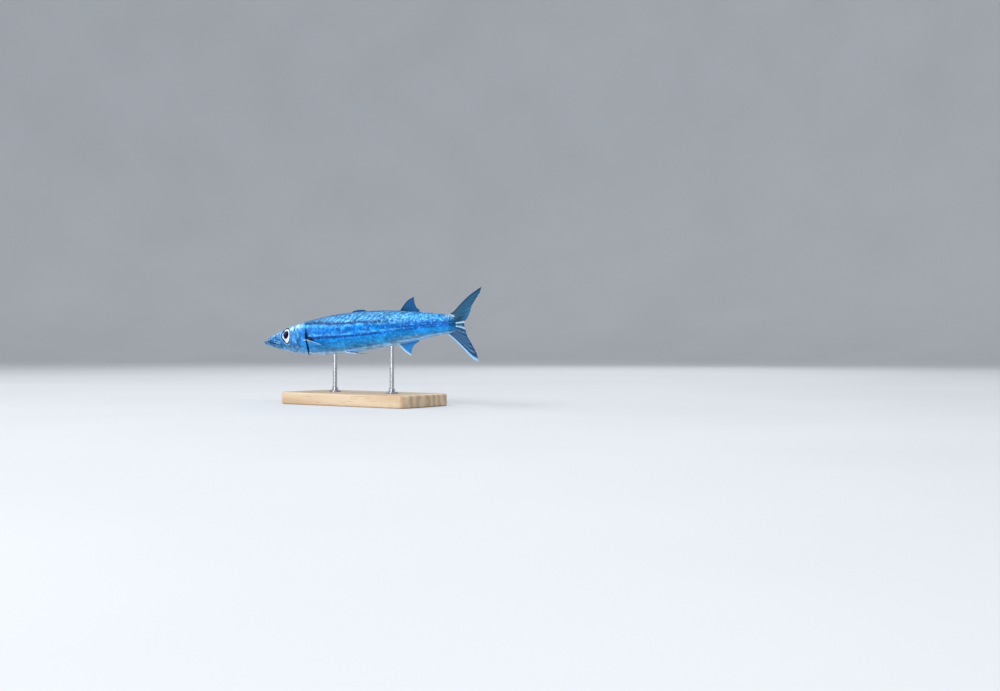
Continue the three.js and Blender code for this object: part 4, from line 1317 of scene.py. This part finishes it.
def lay_scales(name, share, around, length, width, lift, material, seed, ridge=0.0):
    """Scales rooted at places of the body. Length and width are half sizes, lift is the base's height."""
    rng = np.random.default_rng(seed)
    flat, rise, faces = scale_plate()
    n, count = len(share), len(rise)
    size = rng.normal(1, SIZE_SPREAD, (n, 1))
    lean, roll = rng.normal(0, LEAN_SPREAD, (2, n, 1))
    along = flat[:, 0] * length[:, None] * size
    across = flat[:, 1] * width[:, None] * size
    s = np.minimum(share[:, None] + along / LENGTH, TAIL_END)
    c = around[:, None] + across / half_length(share)[:, None]
    base = body_point(s, c)
    tilt = SCALE_TILT * (flat[:, 0] + 0.35) * length[:, None]
    dome = SCALE_DOME * width[:, None] * rise
    keel = np.maximum(1 - (abs(flat[:, 1]) / KEEL_REACH) ** 2, 0) * (rise > 0)
    height = lift[:, None] + tilt + dome + lean * along + roll * across + np.reshape(ridge, (-1, 1)) * keel
    points = settle(base + height[..., None] * surface_normals(s, c))
    notes = {
        "place": np.stack([s, np.clip(level_at(s, base[..., 2]), 0, 1), np.zeros(s.shape)], -1),
        "glint": np.repeat(np.clip(rng.beta(2.0, 2.6, (n, 1)), 0, 1), count, 1),
        # Painted shade on each scale's underside
        "painted_shade": np.where(rise < -0.1, 0.4, 0.0) * np.ones((n, 1)),
        "orbit": np.ones(s.shape),
    }
    piece = joined_mesh(name, points, faces[None] + (np.arange(n) * count)[:, None, None], notes)
    add_bake_map(piece, np.stack([share, (around % 2) / 2], -1)[:, None, :] + BAKE_PATCH * flat[None])
    select_only(piece)
    bpy.ops.object.shade_smooth_by_angle(angle=math.radians(50))
    finish_piece(piece, name, material)


def add_bake_map(piece, places):
    """A UV map that lays each scale at its own share and turn of the body."""
    bake = piece.data.uv_layers.new(name="OFBake")
    corner = np.zeros(len(piece.data.loops), np.int32)
    piece.data.loops.foreach_get("vertex_index", corner)
    bake.data.foreach_set("uv", places.reshape(-1, 2)[corner].astype(np.float32).ravel())


def front_of_scales(arc, z):
    """Where the coat begins: behind the gill flap on the sides, further forward on the nape."""
    nape = np.interp(arc, *zip(*NAPE_FRONT))
    return np.where(arc > NAPE_START, nape, gill_share(z) + FLAP_CLEARANCE)


def body_scales(material):
    """Rows of scales from the gills to the tail fin, smaller toward the tail and the nape."""
    share, around = [], []
    place, ring = COAT_START, 0
    while place < COAT_END:
        share += [place] * SCALE_ROWS
        around += list((np.arange(SCALE_ROWS) + 0.5 * (ring % 2) + 0.25) * 2 / SCALE_ROWS)
        place += SCALE_STEP * half_length(place) / SCALE_ROWS / LENGTH * (0.72 + 0.28 * smooth(place, *NAPE))
        ring += 1
    rng = np.random.default_rng(7)
    share, around = np.array(share), np.array(around)
    share = share + rng.normal(0, SHARE_SCATTER, share.shape)
    around = (around + rng.normal(0, TURN_SCATTER, around.shape)) % 2
    arc = np.where(around > 1, 2 - around, around)
    _, z = half_ring(share, arc)
    keep = share > front_of_scales(arc, z)
    share, around, z = share[keep], around[keep], z[keep]
    spacing = 2 * half_length(share) / SCALE_ROWS
    wide = SCALE_WIDTH * spacing
    long = SCALE_LENGTH * spacing * (0.80 + 0.20 * smooth(share, *NAPE))
    course = np.interp(share, *zip(*LATERAL_LINE))
    from_line = abs(level_at(share, z) - course) * 2 * section(share)[1]
    ridge = np.where(from_line < LATERAL_REACH * spacing, LATERAL_KEEL, 0.0)
    lift = flare(share * LENGTH, z) * (share < gill_share(z)) - COAT_SINK
    for side, seed, mask in (("right", 11, around < 1), ("left", 12, around >= 1)):
        lay_scales(
            "scales_" + side, share[mask], around[mask], long[mask], wide[mask], lift[mask], material, seed,
            ridge[mask],
        )


def head_scales(material):
    """Small scales on the gill covers and cheeks."""
    front, rear = CHEEK_SHARES
    spots = []
    for i, x in enumerate(np.arange(front * LENGTH, rear * LENGTH, 0.86 * CHEEK_STEP)):
        for z in np.arange(*CHEEK_HEIGHTS, CHEEK_STEP) + 0.5 * CHEEK_STEP * (i % 2):
            spots.append((x, z))
    x, z = np.array(spots).T
    dx, dz = eye_offsets(x, z)
    level = level_at(x / LENGTH, z)
    clear = np.hypot(dx, dz) > rim_reach(np.arctan2(dz, dx)) + ORBIT_CLEARANCE
    clear &= distance_to(PREOPERCLE, x, z) > RIDGE_CLEARANCE
    clear &= distance_to(OPERCLE_SEAM, x, z) > SEAM_CLEARANCE
    clear &= x / LENGTH < gill_share(z) - GILL_CLEARANCE
    clear &= (level > CHEEK_LEVELS[0]) & (level < CHEEK_LEVELS[1])
    x, z = x[clear], z[clear]
    share = x / LENGTH
    arc = arc_at_height(share, z)
    rng = np.random.default_rng(3)
    n = len(arc)
    for side, seed, around in (("right", 22, arc), ("left", 21, 2 - arc)):
        lay_scales(
            "cheek_scales_" + side, share + rng.normal(0, CHEEK_SCATTER, n), around,
            np.full(n, 0.92 * CHEEK_STEP), np.full(n, 0.62 * CHEEK_STEP), flare(x, z) - CHEEK_SINK,
            material, seed,
        )


# Eyes

# From the edge of the eye over the iris, the rim of the pupil and the lens: radius and height in millimetres
EYE_PROFILE = [
    (5.6, -2.6), (6.9, -2.0), (7.25, -0.6), (7.3, 0.55), (7.15, 0.95), (6.75, 1.22), (6.2, 1.42), (5.7, 1.56),
    (5.42, 1.64), (5.26, 1.70), (5.18, 1.68), (5.1, 1.66), (4.9, 1.76), (4.4, 1.96), (3.7, 2.20), (3.0, 2.40),
    (2.2, 2.56), (1.4, 2.66), (0.6, 2.71), (0.02, 2.72),
]
EYE_SIDES = 64


def build_eye(word, side, material):
    """A pearly iris round a bulging lens, turned in rings and seated in the orbit."""
    piece = turned("eyeball_" + word, [(wide * MM, high * MM) for wide, high in EYE_PROFILE], EYE_SIDES)
    co = np.array([v.co for v in piece.data.vertices])
    looks = np.stack([-side * co[:, 0], co[:, 1], np.hypot(co[:, 0], co[:, 1])], -1) / EYE_RADIUS
    write_notes(piece.data, {"place": looks})
    outward = np.array([
        -math.sin(EYE_FORWARD) * math.cos(EYE_UPWARD),
        side * math.cos(EYE_FORWARD) * math.cos(EYE_UPWARD),
        math.sin(EYE_UPWARD),
    ])
    along = np.cross([0, 0, 1.0], outward)
    along /= np.linalg.norm(along)
    up = np.cross(outward, along)
    seat = np.array([EYE_PLACE * LENGTH, side * EYE_SEAT, EYE_HEIGHT])
    places = seat + co[:, :1] * along + co[:, 1:2] * up + co[:, 2:] * outward
    piece.data.vertices.foreach_set("co", settle(places).astype(np.float32).ravel())
    bpy.ops.object.shade_smooth()
    finish_piece(piece, "eyeball_" + word, material)
    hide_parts("eye_" + word)


# Fins: a web between a root line and an edge line, with branched rays standing out of both faces

WEB_STEPS = 12
WEB_ROWS = 40
WEB_THICKNESS = 0.16 * MM
WEB_FRAYING = 0.012
RAY_SIDES = 8
RAY_FLATNESS = 0.72
RAY_SPREAD = 0.30
RAY_STEP = 0.55 * MM
RAY_JOINT = 0.16
RAY_END = 0.992
RAY_OVERLAP = 0.01


def ladder(points):
    """A line of shares and heights in millimetres, as points on the middle plane."""
    return smooth_path(np.array([[share * LENGTH, 0, height * MM] for share, height in points]))


def straight(a, b):
    def at(t):
        t = np.asarray(t, float)[..., None]
        return a * (1 - t) + b * t
    return at


def drawn_arc(a, b, c):
    """An arc from a to c, drawn toward b."""
    def at(t):
        t = np.asarray(t, float)[..., None]
        return (1 - t) ** 2 * a + 2 * t * (1 - t) * b + t**2 * c
    return at


class Fin:
    """A fin between its root and its rear edge. Lead is its front edge, from the root to the tip."""

    def __init__(self, rays, root, edge, lead, normal, notch, camber=0.0):
        self.rays, self.root, self.edge, self.lead = rays, root, edge, lead
        self.normal = np.array(normal) / np.linalg.norm(normal)
        self.notch, self.camber = notch, camber

    def point(self, u, v):
        """The point at u across the fin, from its front, and v along it, from its root."""
        u, v = np.broadcast_arrays(u, v)
        w, t = u[..., None], v[..., None]
        root, edge = self.root(u), self.edge(u)
        first, tip = self.root(np.zeros(1))[0], self.edge(np.zeros(1))[0]
        sway = (self.lead(v) - (first + (tip - first) * t)) * (1 - w) ** 1.5
        bow = self.camber * np.sin(math.pi * w) * t
        return root + (edge - root) * t + sway + bow * self.normal


def build_fin(name, fin, looks, thick, spines=0, forks=(0.42, 0.70)):
    """Web and rays of one fin. Thick is a ray's half thickness at its root, spines its plain front rays."""
    web_look, ray_look = looks
    u = np.linspace(0, 1, WEB_STEPS * (fin.rays - 1) + 1)[:, None]
    v = np.linspace(0, 1, WEB_ROWS + 1)[None]
    tooth = abs(np.sin(math.pi * u * (fin.rays - 1)))
    rng = np.random.default_rng(len(name))
    frill = 1 - fin.notch * tooth - WEB_FRAYING * rng.random(u.shape)
    places = np.stack(np.broadcast_arrays(u, v * frill, 0 * u), -1)
    web = laid_grid(fin.point(u, v * frill), {"place": places})
    wall = web.modifiers.new("thickness", "SOLIDIFY")
    wall.thickness, wall.offset = WEB_THICKNESS, 0
    select_only(web)
    bpy.ops.object.modifier_apply(modifier="thickness")
    set_places(web, settle)
    finish_piece(web, name + "_web", web_look)
    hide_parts(name)
    ray_mesh(name + "_rays", fin, ray_stretches(fin, thick, spines, forks), ray_look)


def ray_stretches(fin, thick, spines, forks):
    """All stretches of a fin's rays: a plain spine each, or a stem that parts in two at each fork."""
    first, second = forks
    gap = RAY_SPREAD / (fin.rays - 1)
    stretches = []

    def draw(course, start, end, half, taper):
        stretches.append(ray_stretch(fin, course, start, end, half, taper))

    for k in range(fin.rays):
        at = k / (fin.rays - 1)
        inward = 1 if k == 0 else -1 if k == fin.rays - 1 else 0

        def branch(t, lean=0, twig=0):
            stem = at + lean * gap * 0.5 * smooth(t, first, 1.0)
            return stem + twig * gap * 0.34 * smooth(t, second, 1.08)

        if k < spines:
            draw(branch, 0, 1.0, thick, 1.0)
            continue
        draw(branch, 0, first + RAY_OVERLAP, thick, 0.78)
        for a in (-1, 1):
            lean = (a > 0) * inward * 1.4 if inward else a
            draw(lambda t: branch(t, lean), first, second + RAY_OVERLAP, 0.62 * thick, 0.55)
            for b in (-1, 1):
                twig = (b > 0) * inward if inward else b
                draw(lambda t: branch(t, lean, twig), second, RAY_END, 0.42 * thick, 0.30)
    return stretches


def ray_stretch(fin, course, start, end, thick, taper):
    """One stretch of a ray, notched at its joints: its path, half thickness and places on the fin."""
    middle = np.array(0.3)
    reach = np.linalg.norm(fin.point(middle, np.array(end)) - fin.point(middle, np.array(start)))
    steps = max(6, int(reach / RAY_STEP))
    v = np.linspace(start, end, steps + 1)
    u = np.clip(course(v), 0, 1)
    joint = 1 - RAY_JOINT * (np.arange(steps + 1) % 2) * (v > 0.2)
    half = thick * (1 - (1 - taper) * (v - start) / (end - start)) * joint
    half[-1] *= 0.55
    return fin.point(u, v), half, np.stack([u, v, 0 * v], -1)


def ray_mesh(name, fin, stretches, look):
    """Rings of points along each stretch, closed at both ends."""
    points, faces, places = [], [], []
    k = np.arange(RAY_SIDES)
    m = (k + 1) % RAY_SIDES
    turn = 2 * math.pi * k / RAY_SIDES
    base = 0
    for path, half, note in stretches:
        tangent = np.gradient(path, axis=0)
        tangent /= np.linalg.norm(tangent, axis=1, keepdims=True)
        across = np.cross(tangent, fin.normal)
        across /= np.linalg.norm(across, axis=1, keepdims=True)
        size = half[:, None, None]
        ring = (path[:, None] + RAY_FLATNESS * size * np.cos(turn)[None, :, None] * across[:, None]
                + size * np.sin(turn)[None, :, None] * fin.normal)
        n = len(path)
        points += [ring.reshape(-1, 3), path[[0, -1]]]
        places += [np.repeat(note, RAY_SIDES, 0), note[[0, -1]]]
        for i in range(n - 1):
            a, b = base + i * RAY_SIDES, base + (i + 1) * RAY_SIDES
            faces += list(zip(a + k, a + m, b + m, b + k))
        first, last = base + n * RAY_SIDES, base + n * RAY_SIDES + 1
        end = base + (n - 1) * RAY_SIDES
        faces += [(first, base + p, base + q) for p, q in zip(m, k)]
        faces += [(last, end + p, end + q) for p, q in zip(k, m)]
        base += n * RAY_SIDES + 2
    mesh = bpy.data.meshes.new(name)
    mesh.from_pydata(settle(np.vstack(points)).tolist(), [], [tuple(int(i) for i in f) for f in faces])
    write_notes(mesh, {"place": np.vstack(places)})
    piece = bpy.data.objects.new(name, mesh)
    bpy.context.scene.collection.objects.link(piece)
    edit(piece, lambda: bpy.ops.mesh.normals_make_consistent(inside=False))
    bpy.ops.object.shade_smooth()
    finish_piece(piece, name, look)


ROOT_SINK = 2 * MM
SIDEWAYS = (0.0, 1.0, 0.0)
TOP = 0
BOTTOM = 1


def inward(ridge):
    return -1 if ridge == TOP else 1


def ridge_line(start, end, ridge):
    """A root line along the ridge of the back or the belly, sunk under the skin."""
    def at(u):
        share = start + (end - start) * np.asarray(u, float)
        height = station_values(share)[..., ridge] + inward(ridge) * ROOT_SINK
        return np.stack([share * LENGTH, 0 * share, height], -1)
    return at


def height_at(share, ridge):
    """Height of the back or the belly in millimetres."""
    return float(station_values(np.array(share))[ridge]) / MM


def ridge_fin(name, looks, ridge, root, lead, trail, rays, notch, spines, thick):
    """A fin of the back or the belly. Its front edge runs from the root over lead to the start of trail."""
    foot = (root[0], height_at(root[0], ridge) + inward(ridge) * ROOT_SINK / MM)
    front = ladder([foot, *lead, trail[0]])
    fin = Fin(rays, ridge_line(*root, ridge), ladder(trail), front, SIDEWAYS, notch)
    build_fin(name, fin, looks, thick, spines=spines)


# Lobes of the tail fin: front edge and rear edge, as shares of length and heights in millimetres
FORK = (1.058, 0.9)
FORK_ROOT = (0.982, 0.9)
UPPER_LEAD = [
    (0.962, 10.2), (1.000, 13.8), (1.032, 19.2), (1.062, 24.0), (1.094, 28.1), (1.135, 32.1), (1.185, 35.6),
]
UPPER_TRAIL = [(1.170, 30.4), (1.139, 23.7), (1.112, 17.4), (1.098, 11.0), (1.081, 5.6), FORK]
LOWER_LEAD = [
    (0.952, -7.6), (0.976, -11.6), (1.005, -17.2), (1.038, -24.1), (1.073, -31.5), (1.108, -38.0),
    (1.141, -41.4),
]
LOWER_TRAIL = [(1.132, -33.6), (1.113, -26.3), (1.096, -20.4), (1.079, -15.0), (1.067, -7.6), FORK]

# Marks of the tail's lobes: reach across from the front, reach along from the root, colour and strength
UPPER_MARKS = [
    ((0.06, 1.1), (-0.2, 0.34), (62, 96, 102), 0.75),
    ((0.66, 0.90), (-0.1, 0.66), (4, 50, 70), 0.75),
    ((0.48, 0.90), (0.84, 1.2), (40, 122, 184), 0.5),
    ((0.94, 1.1), (0.02, 1.2), (206, 234, 250), 0.9),
]
LOWER_MARKS = [
    ((0.10, 0.86), (-0.2, 0.14), (10, 62, 92), 0.8),
    ((0.925, 1.1), (-0.2, 0.9), (40, 96, 124), 0.8),
    ((0.87, 0.915), (0.02, 1.1), (168, 208, 236), 0.8),
    ((0.45, 0.83), (0.84, 1.2), (14, 96, 156), 0.45),
]

# Streaks of the tail's lobes: how many, and their strength
UPPER_STREAKS = (8.0, 0.5)
LOWER_STREAKS = (7.0, 0.6)


def ridge_fins(pale):
    """Both fins of the back, the first folded down, and the fin behind the vent."""
    dusky = (
        fin_membrane("dusky_web", (4, 52, 78), (0, 84, 136), (0, 60, 108), 0.84),
        fin_ray("dusky_ray", (10, 62, 86), (10, 98, 152), (0, 60, 108)),
    )
    ridge_fin(
        "first_dorsal_fin", dusky, TOP, (0.452, 0.520), [(0.462, height_at(0.462, TOP) - 0.4)],
        [(0.482, 26.2), (0.505, 27.0), (0.525, 26.7), (0.542, 25.6)], 5, 0.08, 5, 0.42 * MM,
    )
    ridge_fin(
        "second_dorsal_fin", dusky, TOP, (0.710, 0.806), [(0.732, 26.0), (0.757, 31.6)],
        [(0.790, 35.0), (0.791, 29.8), (0.798, 24.0), (0.816, 19.6)], 10, 0.03, 1, 0.46 * MM,
    )
    ridge_fin(
        "anal_fin", pale, BOTTOM, (0.697, 0.800), [(0.716, -20.6), (0.740, -25.8)],
        [(0.763, -29.6), (0.768, -23.4), (0.781, -18.6), (0.808, -14.6)], 10, 0.03, 1, 0.46 * MM,
    )


def tail_fins():
    """Lobes of the tail fin, dark with faint streaks, pale along the fork and the lower front edge."""
    count, strength = UPPER_STREAKS
    upper = (
        fin_membrane("tail_web_upper", (34, 78, 92), (8, 76, 116), (0, 36, 84), 0.92, UPPER_MARKS,
                     (count, (60, 112, 136), strength)),
        fin_ray("tail_ray_upper", (48, 90, 100), (24, 94, 130), (0, 40, 88), UPPER_MARKS,
                (count, (88, 136, 156), strength)),
    )
    count, strength = LOWER_STREAKS
    lower = (
        fin_membrane("tail_web_lower", (18, 66, 90), (0, 60, 100), (150, 206, 250), 0.94, LOWER_MARKS,
                     (count, (98, 142, 186), strength)),
        fin_ray("tail_ray_lower", (28, 78, 100), (8, 76, 118), (184, 226, 255), LOWER_MARKS,
                (count, (126, 166, 208), strength)),
    )
    for name, lead, trail, looks in (
        ("tail_fin_upper", UPPER_LEAD, UPPER_TRAIL, upper),
        ("tail_fin_lower", LOWER_LEAD, LOWER_TRAIL, lower),
    ):
        ends = [np.array([share * LENGTH, 0, height * MM]) for share, height in (lead[0], FORK_ROOT)]
        lobe = Fin(12, straight(*ends), ladder([lead[-1], *trail]), ladder(lead), SIDEWAYS, 0.022)
        build_fin(name, lobe, looks, 0.46 * MM, forks=(0.34, 0.62))


def paired_fins(pale):
    """Breast and belly fins, the same on both sides."""
    white = (
        fin_membrane("white_web", (176, 212, 240), (150, 200, 242), (230, 244, 255), 0.85),
        fin_ray("white_ray", (206, 230, 248), (196, 226, 250), (240, 248, 255)),
    )
    for side, word in ((-1, "left"), (1, "right")):
        build_fin("pectoral_fin_" + word, pectoral(side), pale, 0.44 * MM)
        build_fin("pelvic_fin_" + word, pelvic(side), white, 0.40 * MM)


def paired_fin(rays, place, edge, lead, root, normal, camber=0.0):
    """A fin from its points: rear edge, the front edge's foot and bend, and the rear end of the root."""
    tip, foot = place(*edge[0]), place(*lead[0])
    rear = smooth_path(np.array([place(*point) for point in edge]))
    front = drawn_arc(foot, place(*lead[1]), tip)
    return Fin(rays, straight(foot, place(*root)), rear, front, normal, 0.05, camber)


def pectoral(side):
    """Breast fin, laid back along the flank. Its points are millimetres back, out from the flank, and up."""
    share = 0.266
    seat = float(surface_width(np.array(share * LENGTH), np.array(-5 * MM))) - ROOT_SINK

    def place(back, out, height):
        return np.array([share * LENGTH + back * MM, side * (seat + out * MM), height * MM])

    edge = [(31, 7.7, -12.0), (26, 6.8, -12.7), (19, 5.2, -12.4), (12, 3.8, -10.9)]
    lead = [(0, 1.9, -4.1), (6, 5.0, -4.4)]
    return paired_fin(9, place, edge, lead, (0.8, 0.6, -7.8), (-0.22, side, 0.35), 0.7 * MM)


def pelvic(side):
    """Belly fin, close under the belly. Its points are millimetres back, out from the middle, and down."""
    share = 0.440
    level = height_at(share, BOTTOM) + ROOT_SINK / MM

    def place(back, out, drop):
        return np.array([share * LENGTH + back * MM, side * out * MM, (level - drop) * MM])

    edge = [(26, 8.2, 3.9), (24, 5.6, 4.3), (19, 3.6, 4.2), (13, 2.2, 3.9)]
    lead = [(0, 6.4, 0), (12, 8.6, 3.8)]
    return paired_fin(6, place, edge, lead, (1.6, 2.4, 0), (0.1, side * 0.3, -1))


def build_fins():
    pale = (
        fin_membrane("pale_web", (84, 146, 172), (24, 122, 196), (170, 218, 252), 0.84),
        fin_ray("pale_ray", (124, 174, 192), (66, 154, 218), (214, 238, 255)),
    )
    ridge_fins(pale)
    tail_fins()
    paired_fins(pale)


# Stand

PLATE = (190 * MM, 84 * MM, 14 * MM)
PLATE_CORNER = 10 * MM
PLATE_EDGE = 2.2 * MM
ROD_PLACES = {"front": -44 * MM, "rear": 44 * MM}
ROD_RADIUS = 2.5
ROD_SIDES = 48

# The rod's collar and shoulder: radius and height over the plate in millimetres
ROD_FOOT = [
    (6.6, 0), (7.0, 0.3), (7.0, 1.3), (6.6, 1.9), (4.2, 2.3), (3.6, 2.6), (3.4, 5.4), (3.0, 5.9),
    (ROD_RADIUS, 6.0),
]

# The rod's end, sunk in the belly: radius and height over the solid rod's top in millimetres
ROD_HEAD = [(ROD_RADIUS, 0.4), (2.2, 0.8)]


def build_plate(material):
    """A plain plate with rounded corners and softened edges."""
    clear_selection()
    bpy.ops.mesh.primitive_cube_add(size=1, location=(0, 0, PLATE[2] / 2), scale=PLATE)
    plate = bpy.context.object
    bpy.ops.object.transform_apply(location=True, scale=True)
    bpy.ops.object.mode_set(mode="EDIT")
    bpy.ops.mesh.select_mode(type="EDGE")
    bpy.ops.mesh.select_all(action="DESELECT")
    bpy.ops.object.mode_set(mode="OBJECT")
    for e in plate.data.edges:
        a, b = (plate.data.vertices[i].co for i in e.vertices)
        e.select = abs(a.z - b.z) > PLATE[2] / 2
    bpy.ops.object.mode_set(mode="EDIT")
    bpy.ops.mesh.bevel(offset=PLATE_CORNER, segments=14, affect="EDGES")
    bpy.ops.object.mode_set(mode="OBJECT")
    soft = plate.modifiers.new("edges", "BEVEL")
    soft.width, soft.segments = PLATE_EDGE, 5
    soft.limit_method, soft.angle_limit = "ANGLE", math.radians(60)
    bpy.ops.object.modifier_apply(modifier="edges")
    bpy.ops.object.shade_smooth_by_angle(angle=math.radians(35))
    finish_piece(plate, "plate", material)
    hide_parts("stand_base")


def build_rod(word, place, material):
    """A rod with a turned collar on the plate, up into the belly."""
    node = "stand_rod_" + word
    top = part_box(node)[1].z
    profile = [(wide * MM, PLATE[2] + high * MM) for wide, high in ROD_FOOT]
    profile += [(wide * MM, top + high * MM) for wide, high in ROD_HEAD]
    rod = turned("rod_" + word, profile, ROD_SIDES)
    set_places(rod, lambda co: co + np.array([place, 0, 0]))
    select_only(rod)
    bpy.ops.object.shade_smooth_by_angle(angle=math.radians(30))
    finish_piece(rod, "rod_" + word, material)
    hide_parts(node)


def build_stand():
    build_plate(oiled_wood())
    steel = brushed_steel()
    for word, place in ROD_PLACES.items():
        build_rod(word, place, steel)


# Room, light and camera

ROOM_PROFILE = [(3.0, 0.0), (4.0, 0.0), (4.5, 0.10), (4.85, 0.35), (5.1, 0.75), (5.2, 1.3), (5.2, 3.8)]
ROOM_SIDES = 128

# Lamps: name, place, aim, width and power
LAMPS = [
    ("key", (0.3, -2.3, 1.7), (0, 0, 0.08), 1.5, 46),
    ("overhead", (0.0, 0.1, 2.4), (0, 0, 0.08), 1.8, 17),
    ("fill", (-1.9, -0.9, 0.8), (0, 0, 0.08), 1.4, 9),
    ("back", (-0.6, 1.9, 1.3), (0, 0, 0.08), 1.4, 9),
    ("low", (0.5, -1.9, 0.25), (0, 0, 0.09), 0.7, 7),
]
SKY_COLOUR = (0.94, 0.97, 1.0, 1)
SKY_STRENGTH = 0.62
CAMERA_PLACE = (0.8765, -0.9599, 0.0682)
CAMERA_TURN = (math.radians(90), 0, math.radians(35.42))
LENS = 40.32
SENSOR = 36


def build_room():
    room = turned("room", ROOM_PROFILE, ROOM_SIDES, open_top=True)
    bpy.ops.object.shade_smooth_by_angle(angle=math.radians(40))
    room.data.materials.append(pale_floor())


def area_light(name, place, aim, size, power):
    data = bpy.data.lights.new(name, "AREA")
    data.shape, data.size, data.energy = "DISK", size, power
    lamp = bpy.data.objects.new(name, data)
    bpy.context.scene.collection.objects.link(lamp)
    lamp.location = place
    lamp.rotation_euler = (Vector(aim) - Vector(place)).to_track_quat("-Z", "Y").to_euler()


def build_light():
    for lamp in LAMPS:
        area_light(*lamp)
    world = bpy.data.worlds.new("studio")
    bpy.context.scene.world = world
    bpy.context.scene.view_settings.view_transform = "Standard"
    world.use_nodes = True
    sky = world.node_tree.nodes["Background"]
    sky.inputs["Color"].default_value = SKY_COLOUR
    sky.inputs["Strength"].default_value = SKY_STRENGTH


def build_camera():
    data = bpy.data.cameras.new("camera")
    data.sensor_width, data.lens = SENSOR, LENS
    camera = bpy.data.objects.new("camera", data)
    bpy.context.scene.collection.objects.link(camera)
    camera.location = CAMERA_PLACE
    camera.rotation_euler = CAMERA_TURN
    bpy.context.scene.camera = camera


build_camera()
skin_look = silver_skin()
build_skin(skin_look)
body_scales(skin_look)
head_scales(skin_look)
eye_glass = eye_look()
build_eye("left", -1, eye_glass)
build_eye("right", 1, eye_glass)
build_fins()
build_stand()
build_room()
build_light()
